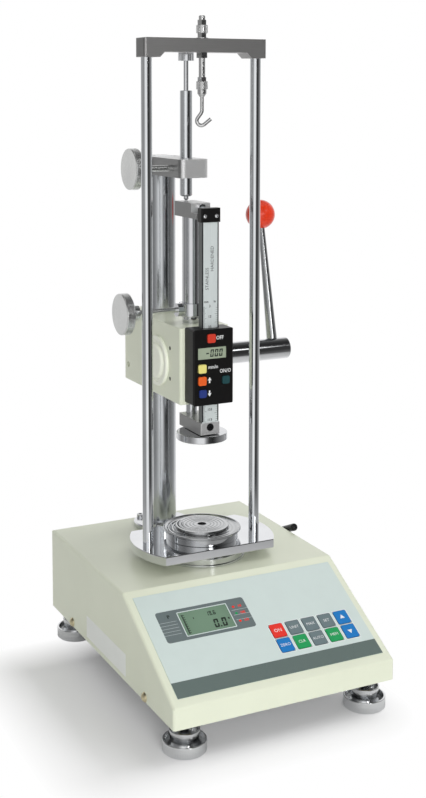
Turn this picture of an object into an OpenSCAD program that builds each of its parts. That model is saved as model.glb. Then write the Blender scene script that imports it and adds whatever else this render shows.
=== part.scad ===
// Lever-operated spring tester. A spring stands on the compression plate, or hangs between
// two hooks, and a hand lever drives the ram down through a pinion and a rack. The load frame
// rests on a load cell in the base, and a digital scale reads the travel of the ram.
// Millimetres, +Z up, +X to the right, +Y to the back. The origin is on the table, below the
// middle of the base.

/* [Base] */
// Width of the base
base_w = 220; // [214:1:250]
// Depth of the base
base_d = 298; // [296:1:330]
// Height of the base housing
base_h = 80; // [76:1:100]
// Depth of the flat top, from the rear edge to the bend
flat_d = 188; // [184:1:196]
// Height of the front lip
lip_h = 19; // [14:1:26]
// Sheet thickness of the housing
sheet_t = 2; // [1.5:0.1:2.5]
// Radius of the bends of the housing
bend_r = 3; // [2.5:0.5:5]
// Radius of the corners of the housing seen from above
corner_r = 2.5; // [2:0.5:4]
// Height of the housing above the table
base_lift = 28.5; // [27:0.5:34]
// Thickness of the steel bottom plate
floor_t = 8; // [7:0.5:10]
// Distance of the two screws of each side from the front and rear faces
side_screw_in = 60; // [50:1:80]

/* [Levelling feet] */
// Distance of a foot's axis from the sides of the base
foot_in = 19; // [17:0.5:24]
// Outer radius of the foot cup
foot_r = 19.2; // [17:0.2:21]
// Height of the foot cup
cup_h = 10.5; // [9:0.5:12]
// Wall of the foot cup
cup_wall = 1.7; // [1.4:0.1:2.4]
// Outer radius of the upper ring of the foot
spool_r = 13.6; // [12.6:0.2:14.4]
// Height of the upper ring of the foot above the table
spool_h = 19.5; // [18:0.5:21]
// Radius of the foot's stud
stud_r = 4; // [3:0.5:5]

/* [Load axis and load cell] */
// Distance of the load axis from the rear edge of the base
axis_in = 128; // [125:1:131]
// Radius of the ring round the load stem
ring_r = 42; // [38:1:44]
// Height of the ring round the load stem
ring_h = 8.4; // [7:0.1:8.8]
// Height of the yoke's underside above the base
yoke_lift = 9.2; // [9.1:0.1:12]
// Radius of the load stem
stem_r = 10; // [8:0.5:12]
// Width of the load cell beam
cell_w = 30; // [24:1:36]
// Height of the load cell beam
cell_h = 24; // [22:1:27]
// Length of the load cell beam
cell_l = 118; // [110:1:124]
// Gap under the load cell beam
cell_gap = 8; // [5:1:10]

/* [Load frame] */
// Distance from a rod's axis to the end of the yoke plate
yoke_over = 13; // [11.5:0.5:17]
// Depth of the yoke plate between its flats
yoke_depth = 82; // [78:1:90]
// Thickness of the yoke plate
yoke_t = 8.5; // [8:0.5:10]
// Distance between the two rods
rod_spacing = 115; // [112:1:118]
// Radius of the rods
rod_r = 5.25; // [5:0.05:6]
// Height of the crossbar's feet above the yoke plate
rod_h = 464; // [462:1:500]
// Distance from a rod's axis to the end of the crossbar
bar_over = 6.5; // [6:0.5:12]
// Thickness of the crossbar
bar_t = 21; // [19:1:24]
// Height of the crossbar
bar_h = 18; // [17:0.5:22]
// Height of the relief under the crossbar
relief_h = 5; // [3:0.5:6]
// Distance from a rod's axis to the end of the relief's ceiling
relief_in = 14.5; // [13.5:0.5:19]
// Corner radius of the crossbar seen from above
bar_corner = 2.5; // [1:0.5:4]

/* [Compression plate] */
// Radius of the plate's rim
plate_r = 37.9; // [36:0.1:40]
// Radius of the plate's body under the rim
plate_body_r = 35; // [33:0.5:35.5]
// Height of the plate's rim above the yoke
plate_h = 9.4; // [8.5:0.1:12]
// Thickness of the rim
rim_t = 2; // [1.5:0.1:3]
// Radius of the raised land
land_r = 26; // [24:0.5:30]
// Height of the land above the rim
land_up = 2.2; // [1.5:0.1:3]
// Depth of the channel between rim and land, below the rim
channel_d = 1.2; // [0.6:0.1:2]
// Radius of the hole in the middle
plate_hole_r = 4.3; // [4.2:0.1:5]
// Number of fine rings turned in the land
land_rings = 5; // [2:1:6]

/* [Hook] */
// Radius of the threaded hook stud
hook_stud_r = 3.15; // [2.8:0.05:3.4]
// Height of the stud's tip above the crossbar
stud_up = 21.6; // [20:0.1:26]
// Length of the stud below the crossbar
stud_down = 28; // [26:0.5:36]
// Radius of the knurled collars
knurl_r = 5.5; // [5:0.1:6.5]
// Height of a knurled collar
knurl_h = 8; // [6:0.5:10]
// Width of the small nuts across their flats
nut_across = 8; // [7:0.5:8]
// Height of the thin nut on the crossbar
thin_nut_h = 4; // [3:0.5:5]
// Height of the nut on top of the knurled collar
top_nut_h = 4.6; // [4:0.2:5]
// Width of the lock nut under the crossbar across its flats
lock_nut_across = 10; // [9:0.5:10]
// Height of the lock nut under the crossbar
lock_nut_h = 5.2; // [4:0.2:6]
// Radius of the washer under the thin nut
washer_r = 6; // [5.5:0.5:7]
// Thickness of the washer
washer_t = 0.8; // [0.6:0.1:1]
// Radius of the hook's wire
wire_r = 1.85; // [1.5:0.05:2.2]
// Radius of the hook's bowl, to the middle of the wire
bowl_r = 4.4; // [4:0.1:6]
// Turn of the hook's plane round the load axis
hook_turn = -26; // [-90:1:90]

/* [Column and bracket] */
// Distance of the column behind the load axis
column_back = 95; // [93:1:97]
// Radius of the column
column_r = 15; // [14:0.5:16]
// Height of the column above the base
column_h = 385; // [380:1:420]
// Radius of the column's foot flange
flange_r = 29; // [27:0.5:31]
// Thickness of the foot flange
flange_t = 5; // [4:0.5:7]
// Half width of the bracket's arm
arm_half = 15.5; // [13:0.5:16.5]
// Height of the bracket
bracket_h = 18; // [16:0.5:22]
// Distance from the stop tube's axis to the front of the bracket
arm_front = 20; // [18:1:24]
// Radius of the bracket round the column
boss_r = 20; // [19:0.5:22]
// Radius of the bracket's front corners
arm_corner = 6; // [2:0.5:8]

/* [Upper stop] */
// Distance of the stop behind the load axis
stop_back = 35; // [34:0.5:37]
// Radius of the stop tube
stop_tube_r = 6.1; // [5:0.1:7]
// Length of the stop tube
stop_tube_l = 103; // [95:1:120]
// Radius of the stop screw
stop_screw_r = 2.45; // [2:0.05:3]
// Length of the screw's tip below the tube
stop_tip_l = 4; // [3:0.5:8]
// Length of the screw's neck above the tube
stop_neck_l = 28.4; // [12:0.2:34]
// Radius of the stop screw's head
stop_head_r = 7.7; // [6:0.1:9]
// Height of the stop screw's head
stop_head_h = 10; // [8:0.5:14]

/* [Clamp knobs] */
// Radius of the knob discs
knob_r = 20; // [16:0.5:22]
// Thickness of the knob discs
knob_t = 8.4; // [6:0.1:12]
// Radius of the knob hubs
hub_r = 7.5; // [6:0.5:9]
// Length of the knob hubs
hub_l = 10.5; // [8:0.5:14]
// Distance of the bracket knob's face from the load axis
bracket_knob_x = 61; // [59:1:70]
// Radius of the bracket knob's screw
bracket_screw_r = 3; // [2.5:0.1:3.5]
// Distance of the collar knob's face from the load axis
collar_knob_x = 76; // [74:1:90]
// Radius of the collar knob's screw
collar_screw_r = 2.5; // [2:0.1:3]

/* [Drive head] */
// Width of the head
head_w = 52; // [50:1:58]
// Depth of the head
head_d = 137; // [134:1:144]
// Height of the head
head_h = 74.5; // [70:0.5:84]
// Height of the head above the base
head_lift = 151; // [146:1:155]
// Radius of the upright edges of the head
head_corner = 3; // [1:0.5:5]
// Radius of the round cover on the head's left side
cover_r = 25; // [24:0.5:27]
// Thickness of the round cover
cover_t = 3; // [2:0.5:5]
// Height of the pinion's axis above the head's underside
pinion_up = 34.5; // [33:0.5:40]

/* [Pinion and rack] */
// Module of the teeth
tooth_m = 1.5; // [1.25:0.05:1.6]
// Number of teeth of the pinion
pinion_n = 21; // [20:1:22]
// Width of the pinion
pinion_w = 16; // [12:1:18]
// Backlash at the pitch line
backlash = 0.16; // [0.1:0.02:0.3]
// Distance of the rack's pitch line from the ram's axis
rack_off = 6.75; // [6.25:0.05:6.8]
// Length of the rack
rack_l = 104; // [90:1:110]
// Radius of the shaft in its bushes
journal_r = 7; // [6:0.5:8]
// Wall of the bushes
bush_wall = 3; // [2:0.5:3.5]

/* [Lever] */
// Radius of the lever shaft outside the head
lever_shaft_r = 11; // [9:0.5:12]
// Distance of the lever shaft's end from the load axis
lever_shaft_x = 120; // [116:0.5:130]
// Distance of the lever from the load axis
lever_x = 104; // [98:1:106]
// Distance of the ball's centre from the shaft's axis
lever_l = 140; // [120:0.5:145]
// Lean of the lever to the back at rest
lever_lean = 11.5; // [0:0.5:20]
// Radius of the lever at its foot
lever_r0 = 5.4; // [4.5:0.1:6]
// Radius of the lever at the ball
lever_r1 = 3.3; // [3:0.1:4]
// Radius of the ball
ball_r = 15.3; // [12:0.1:18]

/* [Ram] */
// Distance of the ram behind the load axis
ram_back = 23; // [22:0.5:23]
// Radius of the ram
ram_r = 9; // [8.8:0.05:9.2]
// Radius of the ram's lower spigot
spigot_r = 5.5; // [4.5:0.1:6]
// Length of the ram above the head
ram_above = 104; // [98:0.5:110]
// Gap between the head and the lower block
ram_below = 16.5; // [12:0.5:18]
// Half width of the ram's blocks
block_half = 10.2; // [9.6:0.1:12]
// Height of the upper block
top_block_h = 14.3; // [13:0.1:18]
// Distance of the upper block's rear face behind the stop's axis
top_block_rear = 5; // [4:0.5:8]
// Height of the upper block's front ledge
ledge_h = 5.5; // [5:0.5:7]
// Length of the ledge in front of the upper block's face
ledge_l = 11.5; // [10:0.5:13]
// Height of the lower block
low_block_h = 12; // [11:0.5:16]
// Length of the lower block behind the ram's axis
low_block_rear = 8; // [7:0.5:12]
// Radius of the pressure disc
disc_r = 24.7; // [20:0.1:27]
// Thickness of the pressure disc
disc_t = 6.9; // [5:0.1:9]

/* [Lower stop] */
// Outer radius of the stop collar
collar_r = 12.3; // [11.5:0.1:14]
// Height of the stop collar
collar_h = 13; // [10:0.5:13]
// Height of the collar above the head
collar_up = 6.5; // [6:0.5:8]

/* [Digital scale] */
// Half width of the scale beam
beam_half = 8.8; // [8:0.1:9]
// Thickness of the scale beam
beam_t = 9.4; // [8:0.1:10]
// Thickness of the beam's full-width front
beam_front_t = 4.4; // [3:0.1:5]
// Distance from the load axis to the beam's front
beam_ahead = 18.1; // [17:0.1:19]
// Width of the readout
readout_w = 42.5; // [40:0.5:48]
// Height of the readout
readout_h = 72.8; // [68:0.2:76]
// Depth of the readout
readout_d = 19; // [18:0.5:21]
// Distance from the load axis to the readout's front
readout_ahead = 25; // [24.5:0.5:26]
// Height of the readout's top above the head's top
readout_up = 0.8; // [0:0.1:2]
// Edge length of the readout's buttons
button_w = 8.4; // [7:0.1:9]
// Height of a button above the readout's face
button_up = 1.2; // [1:0.1:1.6]

/* [Front panel] */
// Margin of the panel to the sides of the base
panel_side = 7.3; // [5:0.1:10]
// Margin of the panel to the upper bend
panel_top = 8.3; // [6:0.1:10]
// Margin of the panel to the lower bend
panel_low = 8.7; // [6:0.1:10]
// Thickness of the panel
panel_t = 0.6; // [0.5:0.1:1]
// Width of the force display
display_w = 50; // [46:0.5:54]
// Height of the force display
display_l = 27; // [24:0.5:30]
// Distance of the display from the panel's left edge
display_in = 33; // [30:0.5:36]
// Distance of the display below the upper bend
display_down = 32.4; // [30:0.2:36]
// Width of a key
key_w = 13.2; // [11:0.1:14]
// Length of a key down the slope
key_l = 14; // [12:0.1:15]
// Pitch of the keys across the panel
key_pitch_x = 17; // [16.5:0.1:17.5]
// Pitch of the keys down the panel
key_pitch_l = 16.1; // [16:0.1:18]
// Distance of the first key row below the upper bend
key_down = 65.3; // [62:0.1:68]
// Distance of the last key column from the panel's right edge
key_in = 12.5; // [10:0.1:16]
// Height of a key above the panel
key_up = 0.6; // [0.5:0.1:0.9]

/* [Side lock] */
// Radius of the lock lever's hub
lock_hub_r = 8; // [6:0.5:9]
// Length of the hub
lock_hub_l = 7.6; // [7:0.2:9]
// Distance from the hub's axis to the middle of the lever's round end
lock_arm_l = 50; // [40:1:54]
// Radius of the lever's round end
lock_end_r = 3.8; // [3.4:0.1:4.2]
// Radius of the arm at the hub
lock_neck_r = 2.8; // [2.4:0.1:3.2]
// Rise of the arm at rest
lock_rise = 19.5; // [0:0.5:25]
// Distance of the lock's axis from the rear edge of the base
lock_in = 65; // [61:1:71]
// Distance of the lock's axis below the top of the base
lock_down = 16.5; // [14:0.5:20]

/* [Fits] */
// Radial clearance of a running or screwed fit
fit = 0.05; // [0.03:0.01:0.1]
// Gap round buttons, keys and other loose pieces
loose = 0.3; // [0.25:0.05:0.5]

/* [Hidden] */
$fn = 64;
eps = 0.01;
big = 400;

// Colours
cream = [0.86, 0.87, 0.78];
steel = [0.72, 0.73, 0.74];
chrome = [0.82, 0.84, 0.86];
satin = [0.66, 0.66, 0.65];
black = [0.1, 0.1, 0.1];

// Base
base_top = base_lift + base_h;
bend_y = base_d / 2 - flat_d;
axis_y = base_d / 2 - axis_in;
lock_y = base_d / 2 - lock_in;
slope_a = atan((base_h - lip_h) / (bend_y + base_d / 2));
slope_l = norm([base_h - lip_h, bend_y + base_d / 2]);
floor_gap = 0.2;
floor_w = base_w - 2 * (sheet_t + floor_gap);
floor_d = base_d - 2 * (sheet_t + floor_gap);
foot_x = base_w / 2 - foot_in;
foot_y = base_d / 2 - foot_in;
foot_nut_h = 4.6;
pedestal_r = 30;
pedestal_seat = 44;
flange_collar = 4;
side_screw_z = base_lift + floor_t / 2;
side_screw_r = 2;

// Load axis and load frame
yoke_d = rod_spacing + 2 * yoke_over;
bar_l = rod_spacing + 2 * bar_over;
relief_half = rod_spacing / 2 - relief_in;
cell_z = base_lift + floor_t + cell_gap;
cell_y0 = axis_y + cell_w / 2;
yoke_z = base_top + yoke_lift;
yoke_top = yoke_z + yoke_t;
plate_top = yoke_top + plate_h;
land_top = plate_top + land_up;
bar_z = yoke_top + rod_h;
bar_top = bar_z + bar_h;
bar_soffit = bar_z + relief_h;
rod_seat = 8;
plate_screw_r = 2.5;

// Column, head, ram and stop
column_y = axis_y + column_back;
column_top = base_top + column_h;
bracket_z = column_top - bracket_h;
head_z = base_top + head_lift;
head_top = head_z + head_h;
readout_y = axis_y - readout_ahead;
readout_back = readout_y + readout_d;
readout_z = head_top + readout_up - readout_h;
head_y = readout_back;
ram_y = axis_y + ram_back;
stop_y = axis_y + stop_back;
pinion_r = tooth_m * pinion_n / 2;
pinion_y = ram_y + rack_off + pinion_r;
pinion_z = head_z + pinion_up;
cavity_r = pinion_r + tooth_m + 1.25;
spring_w = 5.4;
spring_t = 0.5;
spring_turns = 5;
spring_pocket = spring_w + 0.8;
bush_r = journal_r + bush_wall;
wall_x = pinion_w / 2 + 1.5;
top_block_z = head_top + ram_above;
top_block_top = top_block_z + top_block_h;
low_block_top = head_z - ram_below;
low_block_z = low_block_top - low_block_h;
ram_shoulder = head_z + 2.5;
beam_y = axis_y - beam_ahead;
beam_back = beam_y + beam_t;
wall_y = beam_back + ledge_l;
cap_h = 13.4;
beam_step = 1;
tongue_w = 11.8;
tongue_t = 3.9;
tongue_l = 7.9;
tongue_in = 3;
tongue_gap = 0.1;
cell_screw_x = 8;
readout_screw_y = readout_y + 13.3;
readout_screw_z = readout_z + 41;
beam_top = top_block_z + 10;
rivet_x = 6;
rivet_z = top_block_z + 3.6;
cross_screw_z = top_block_top - 4;
low_screw_z = low_block_z + 7.3;
stop_gap = 0.3;
stop_tip_z = top_block_top + stop_gap;
stop_tube_z = stop_tip_z + stop_tip_l;
collar_z = head_top + collar_up;
collar_axis_z = collar_z + collar_h / 2;
bracket_axis_z = bracket_z + bracket_h / 2;

// Panel
panel_w = base_w - 2 * panel_side;
panel_l = slope_l - panel_top - panel_low;
display_x = -panel_w / 2 + display_in + display_w / 2;
key_x = panel_w / 2 - key_in - key_w / 2;

// Points of a polygon with its corners rounded, each by its own radius
function unit(v) = v / norm(v);
function short_turn(a) = a > 180 ? a - 360 : a < -180 ? a + 360 : a;
function corner(a, b, c, r, n) =
    r <= 0 ? [b] :
    let (
        u = unit(a - b),
        v = unit(c - b),
        half = acos(u * v) / 2,
        mid = b + unit(u + v) * r / sin(half),
        p = b + u * r / tan(half) - mid,
        q = b + v * r / tan(half) - mid,
        a0 = atan2(p.y, p.x),
        turn = short_turn(atan2(q.y, q.x) - a0)
    )
    [for (i = [0:n]) mid + r * [cos(a0 + turn * i / n), sin(a0 + turn * i / n)]];
function rounded(pts, radii, n = 6) =
    let (k = len(pts))
    [for (i = [0:k - 1]) each corner(pts[(i + k - 1) % k], pts[i], pts[(i + 1) % k], radii[i], n)];
function rect(x0, y0, x1, y1) = [[x0, y0], [x1, y0], [x1, y1], [x0, y1]];
function rect_at(w, h) = rect(-w / 2, -h / 2, w / 2, h / 2);

// Extrusions of a flat outline along X (outline in Y and Z) and along Y (outline in X and Z)
module along_x(l) {
    rotate([90, 0, 90]) linear_extrude(l, center = true) children();
}
module along_y(l) {
    rotate([90, 0, 0]) linear_extrude(l, center = true) children();
}
// A cylinder whose axis runs to +X or to +Y from the given point
module rod_x(r, l) {
    rotate([0, 90, 0]) cylinder(r = r, h = l);
}
module rod_y(r, l) {
    rotate([-90, 0, 0]) cylinder(r = r, h = l);
}
// A place on the sloping front: x across, u down the slope from the upper bend
module on_slope(x, u) {
    translate([0, bend_y, base_top]) rotate([slope_a, 0, 0]) translate([x, -u, 0]) children();
}
// A cap screw with its head's underside at the origin and its shank downwards
module cap_screw(r, l, head_r, head_h) {
    difference() {
        union() {
            cylinder(r = head_r, h = head_h);
            translate([0, 0, -l]) cylinder(r = r, h = l + eps);
        }
        translate([0, 0, head_h * 0.45]) cylinder(r = r * 0.95, h = head_h, $fn = 6);
    }
}

// Base
function housing_side() = [
    [-base_d / 2, 0], [base_d / 2, 0], [base_d / 2, base_h], [bend_y, base_h], [-base_d / 2, lip_h]
];
module housing_outside() {
    intersection() {
        translate([0, 0, base_lift]) along_x(base_w)
            polygon(rounded(housing_side(), [0, 0, bend_r, bend_r, bend_r]));
        translate([0, 0, base_lift]) linear_extrude(base_h)
            polygon(rounded(rect_at(base_w, base_d), [corner_r, corner_r, corner_r, corner_r]));
        translate([0, 0, base_lift]) along_y(base_d)
            polygon(rounded(rect(-base_w / 2, 0, base_w / 2, base_h), [0, 0, corner_r, corner_r]));
        on_slope(0, 0) along_y(2 * big)
            polygon(rounded(rect(-base_w / 2, -big, base_w / 2, 0), [0, 0, corner_r, corner_r]));
    }
}
module housing_inside() {
    front = -base_d / 2 + sheet_t;
    rear = base_d / 2 - sheet_t;
    low = base_h - (bend_y - front) * tan(slope_a) - sheet_t / cos(slope_a);
    translate([0, 0, base_lift]) along_x(base_w - 2 * sheet_t)
        polygon([
            [front, -1], [rear, -1], [rear, base_h - sheet_t],
            [bend_y + sheet_t * tan(slope_a / 2), base_h - sheet_t], [front, low]
        ]);
}
module flange_screw_places() {
    for (a = [45:90:315]) translate([0, column_y, 0]) rotate([0, 0, a])
        translate([(column_r + flange_collar + flange_r) / 2, 0, 0]) children();
}
module foot_places() {
    for (x = [-foot_x, foot_x], y = [-foot_y, foot_y]) translate([x, y, 0]) children();
}
module cell_screw_places() {
    for (s = [-1, 1]) translate([s * cell_screw_x, cell_y0 - cell_l + cell_w / 2, 0]) children();
}
module side_screw_places() {
    for (s = [-1, 1], y = [-base_d / 2 + side_screw_in, base_d / 2 - side_screw_in])
        translate([s * base_w / 2, y, side_screw_z]) rotate([0, s * 90, 0]) children();
}
module base_housing() {
    field_w = 4 * key_pitch_x + key_w + 4;
    field_l = key_pitch_l + key_l + 4;
    color(cream) difference() {
        housing_outside();
        housing_inside();
        translate([0, column_y, base_top - 10]) cylinder(r = column_r + 0.5, h = 20);
        translate([0, axis_y, base_top - 10]) cylinder(r = stem_r + 6, h = 20);
        flange_screw_places() translate([0, 0, base_top - 10]) cylinder(r = 2.3, h = 20);
        side_screw_places() translate([0, 0, -10]) cylinder(r = side_screw_r + 0.2, h = 20);
        on_slope(display_x, display_down - eps)
            translate([-display_w / 2 + 1, -display_l + 1, -10]) cube([display_w - 2, display_l - 2, 20]);
        on_slope(key_x + key_w / 2 + 2, key_down - 2)
            translate([-field_w, -field_l, -10]) cube([field_w, field_l, 20]);
        translate([base_w / 2 - 5, lock_y, base_top - lock_down]) rod_x(3.2, 10);
    }
}
module base_plate() {
    post_h = base_h - sheet_t - floor_t;
    color(steel) difference() {
        union() {
            translate([-floor_w / 2, -floor_d / 2, base_lift]) cube([floor_w, floor_d, floor_t]);
            translate([0, column_y, base_lift + floor_t - eps]) cylinder(r = pedestal_r, h = post_h);
            translate([-cell_w / 2, cell_y0 - cell_l, base_lift + floor_t - eps])
                cube([cell_w, cell_w, cell_gap]);
        }
        translate([0, column_y, base_top - sheet_t - pedestal_seat])
            cylinder(r = column_r + fit, h = pedestal_seat + 1);
        flange_screw_places() translate([0, 0, base_top - sheet_t - 12]) cylinder(r = 2 + fit, h = 13);
        foot_places() translate([0, 0, base_lift - 1]) cylinder(r = stud_r + fit, h = floor_t + 2);
        side_screw_places() translate([0, 0, -14]) cylinder(r = side_screw_r + fit, h = 14);
        cell_screw_places() {
            translate([0, 0, base_lift - 1]) cylinder(r = 3.2, h = floor_t + cell_gap + 2);
            translate([0, 0, base_lift - 1]) cylinder(r = 5.4, h = 7.4);
        }
    }
}
// The four dome screws of the housing, and the nuts that lock the feet
module base_fasteners() {
    dome_h = 3;
    dome_r = 4.6;
    ball = (dome_h * dome_h + dome_r * dome_r) / 2 / dome_h;
    color(chrome) {
        side_screw_places() union() {
            translate([0, 0, -12]) cylinder(r = side_screw_r, h = 12 + eps);
            rotate_extrude() intersection() {
                translate([0, dome_h - ball]) circle(r = ball, $fn = 96);
                square([dome_r, dome_h]);
            }
        }
        foot_places() translate([0, 0, base_lift - foot_nut_h]) difference() {
            hex_nut(13, foot_nut_h);
            translate([0, 0, -1]) cylinder(r = stud_r + fit, h = foot_nut_h + 2);
        }
    }
}

// Load cell: a beam with two bores joined by a slot, fixed at its front end
module load_cell() {
    mid_y = cell_y0 - cell_l / 2;
    bore_r = cell_h / 3;
    color([0.75, 0.76, 0.78]) difference() {
        translate([-cell_w / 2, cell_y0 - cell_l, cell_z]) cube([cell_w, cell_l, cell_h]);
        for (s = [-1, 1]) translate([-cell_w, mid_y + s * 11, cell_z + cell_h / 2])
            rod_x(bore_r, 2 * cell_w);
        translate([-cell_w, mid_y - 11, cell_z + cell_h / 2 - 2]) cube([2 * cell_w, 22, 4]);
        cell_screw_places() translate([0, 0, cell_z - 1]) cylinder(r = 3 + fit, h = 15);
        translate([0, axis_y, cell_z + cell_h - 12]) cylinder(r = 5 + fit, h = 13);
    }
}
module load_stem() {
    color(steel) difference() {
        union() {
            translate([0, axis_y, cell_z + cell_h]) cylinder(r = stem_r, h = yoke_z - cell_z - cell_h);
            translate([0, axis_y, cell_z + cell_h - 11]) cylinder(r = 5, h = 12);
        }
        translate([0, axis_y, yoke_z - 15]) cylinder(r = plate_screw_r + fit, h = 16);
    }
}
module load_ring() {
    bead = 1.1;
    inner = stem_r + 8;
    color(chrome) translate([0, axis_y, base_top]) rotate_extrude($fn = 128)
        polygon(rounded([
            [inner, 0], [ring_r, 0], [ring_r, 2 * bead], [ring_r - bead, 2 * bead + 0.4],
            [ring_r - bead, ring_h], [inner, ring_h]
        ], [0, 0.4, 0.5, 0, 0.8, 0.4], 4));
}

// Load frame
module rod_places() {
    for (s = [-1, 1]) translate([s * rod_spacing / 2, axis_y, 0]) children();
}
module yoke_plate() {
    edge = 0.6;
    color(chrome) translate([0, axis_y, yoke_z]) difference() {
        intersection() {
            rotate_extrude($fn = 128) polygon(rounded([
                [0, 0], [yoke_d / 2, 0], [yoke_d / 2, yoke_t], [0, yoke_t]
            ], [0, edge, edge, 0], 3));
            along_x(2 * yoke_d) polygon(rounded(
                rect(-yoke_depth / 2, 0, yoke_depth / 2, yoke_t), [edge, edge, edge, edge], 3));
        }
        translate([0, 0, -1]) cylinder(r = plate_screw_r + 0.2, h = yoke_t + 2);
        for (s = [-1, 1]) translate([s * rod_spacing / 2, 0, 0]) {
            translate([0, 0, -1]) cylinder(r = 3 + 0.2, h = yoke_t + 2);
            translate([0, 0, -1]) cylinder(r = 5.2, h = 6.2 + 1);
        }
    }
}
module compression_plate() {
    skirt = plate_h - rim_t;
    floor_z = plate_h - channel_d;
    top = plate_h + land_up;
    ring_step = (land_r - plate_hole_r - 3) / (land_rings + 1);
    color(chrome) translate([0, axis_y, yoke_top]) difference() {
        rotate_extrude($fn = 128) polygon(rounded([
            [0, 0], [plate_body_r, 0], [plate_body_r, skirt - 1], [plate_r - 1, skirt - 0.4],
            [plate_r, skirt + 0.4], [plate_r, plate_h], [plate_r - 1.6, plate_h],
            [plate_r - 3.4, floor_z], [land_r + 0.6, floor_z], [land_r, top], [0, top]
        ], [0, 0.5, 0, 0, 0, 0.4, 0.3, 0.8, 0.3, 0.4, 0], 3));
        for (i = [1:land_rings]) translate([0, 0, top]) rotate_extrude($fn = 96)
            translate([plate_hole_r + 1.5 + i * ring_step, 0]) circle(r = 0.35, $fn = 16);
        translate([0, 0, 4.4]) cylinder(r = plate_hole_r, h = top);
        translate([0, 0, -1]) cylinder(r = plate_screw_r + 0.2, h = top);
    }
}
module frame_rods() {
    color(chrome) rod_places() translate([0, 0, yoke_top]) difference() {
        cylinder(r = rod_r, h = rod_h + rod_seat);
        translate([0, 0, -1]) cylinder(r = 3 + fit, h = 15);
        translate([0, 0, rod_h + rod_seat - 14]) cylinder(r = 3 + fit, h = 15);
    }
}
module crossbar() {
    outline = [
        [-bar_l / 2, 0], [-relief_half - relief_h, 0], [-relief_half, relief_h],
        [relief_half, relief_h], [relief_half + relief_h, 0], [bar_l / 2, 0],
        [bar_l / 2, bar_h], [-bar_l / 2, bar_h]
    ];
    color(satin) translate([0, axis_y, bar_z]) difference() {
        intersection() {
            along_y(bar_t) polygon(rounded(outline, [0.8, 0.5, 0.5, 0.5, 0.5, 0.8, 1.2, 1.2], 4));
            linear_extrude(bar_h)
                polygon(rounded(rect_at(bar_l, bar_t), [bar_corner, bar_corner, bar_corner, bar_corner]));
        }
        translate([0, 0, -1]) cylinder(r = hook_stud_r + 0.2, h = bar_h + 2);
        for (s = [-1, 1]) translate([s * rod_spacing / 2, 0, 0]) {
            translate([0, 0, -1]) cylinder(r = rod_r + fit, h = rod_seat + 1);
            cylinder(r = 3.2, h = bar_h + 1);
            translate([0, 0, bar_h - 6.4]) cylinder(r = 5.2, h = 7);
        }
    }
}

// Hook: a stud with its nuts in the crossbar, and a swivelling coupler that holds the hook
module hex_nut(across, h) {
    cylinder(r = across / 2 / cos(30), h = h, $fn = 6);
}
module knurled(r, h) {
    teeth = 30;
    difference() {
        rotate_extrude() polygon(rounded(rect(0, 0, r, h), [0, 0.7, 0.7, 0], 3));
        for (i = [0:teeth - 1]) rotate([0, 0, i * 360 / teeth]) translate([r + 0.1, 0, -1])
            cylinder(r = 0.3, h = h + 2, $fn = 4);
    }
}
module hook_stud() {
    collar_z0 = washer_t + thin_nut_h;
    color(chrome) translate([0, axis_y, 0]) {
        translate([0, 0, bar_soffit - stud_down]) rotate_extrude()
            polygon(rounded(rect(0, 0, hook_stud_r, stud_down + bar_top - bar_soffit + stud_up),
                [0, 0.6, 0.9, 0], 3));
        translate([0, 0, bar_top]) difference() {
            union() {
                cylinder(r = washer_r, h = washer_t);
                translate([0, 0, washer_t - eps]) hex_nut(nut_across, thin_nut_h + eps);
                translate([0, 0, collar_z0 - eps]) knurled(knurl_r, knurl_h);
                translate([0, 0, collar_z0 + knurl_h - eps]) hex_nut(nut_across, top_nut_h);
            }
            translate([0, 0, -1]) cylinder(r = hook_stud_r + fit, h = stud_up + 2);
        }
        translate([0, 0, bar_soffit - lock_nut_h]) difference() {
            hex_nut(lock_nut_across, lock_nut_h);
            translate([0, 0, -1]) cylinder(r = hook_stud_r + fit, h = lock_nut_h + 2);
        }
    }
}
coupler_seat = 4.8;
coupler_top = bar_soffit - stud_down + coupler_seat;
coupler_h = 18.4;
coupler_nut_h = 3.8;
coupler_knurl_h = 7.9;
coupler_body_h = 7.2;
module hook_coupler() {
    color(chrome) translate([0, axis_y, coupler_top - coupler_h]) difference() {
        union() {
            translate([0, 0, coupler_h - coupler_nut_h]) hex_nut(nut_across, coupler_nut_h);
            translate([0, 0, coupler_body_h - 0.4]) knurled(knurl_r, coupler_knurl_h);
            rotate_extrude() polygon(rounded([
                [0, 0], [wire_r + 0.6, 0], [4.4, 3], [4.4, coupler_body_h], [0, coupler_body_h]
            ], [0, 0.3, 1.2, 0, 0], 4));
        }
        translate([0, 0, coupler_h - 5.2]) cylinder(r = hook_stud_r + fit, h = 6);
        translate([0, 0, -1]) cylinder(r = wire_r + fit, h = 9);
    }
}
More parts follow.
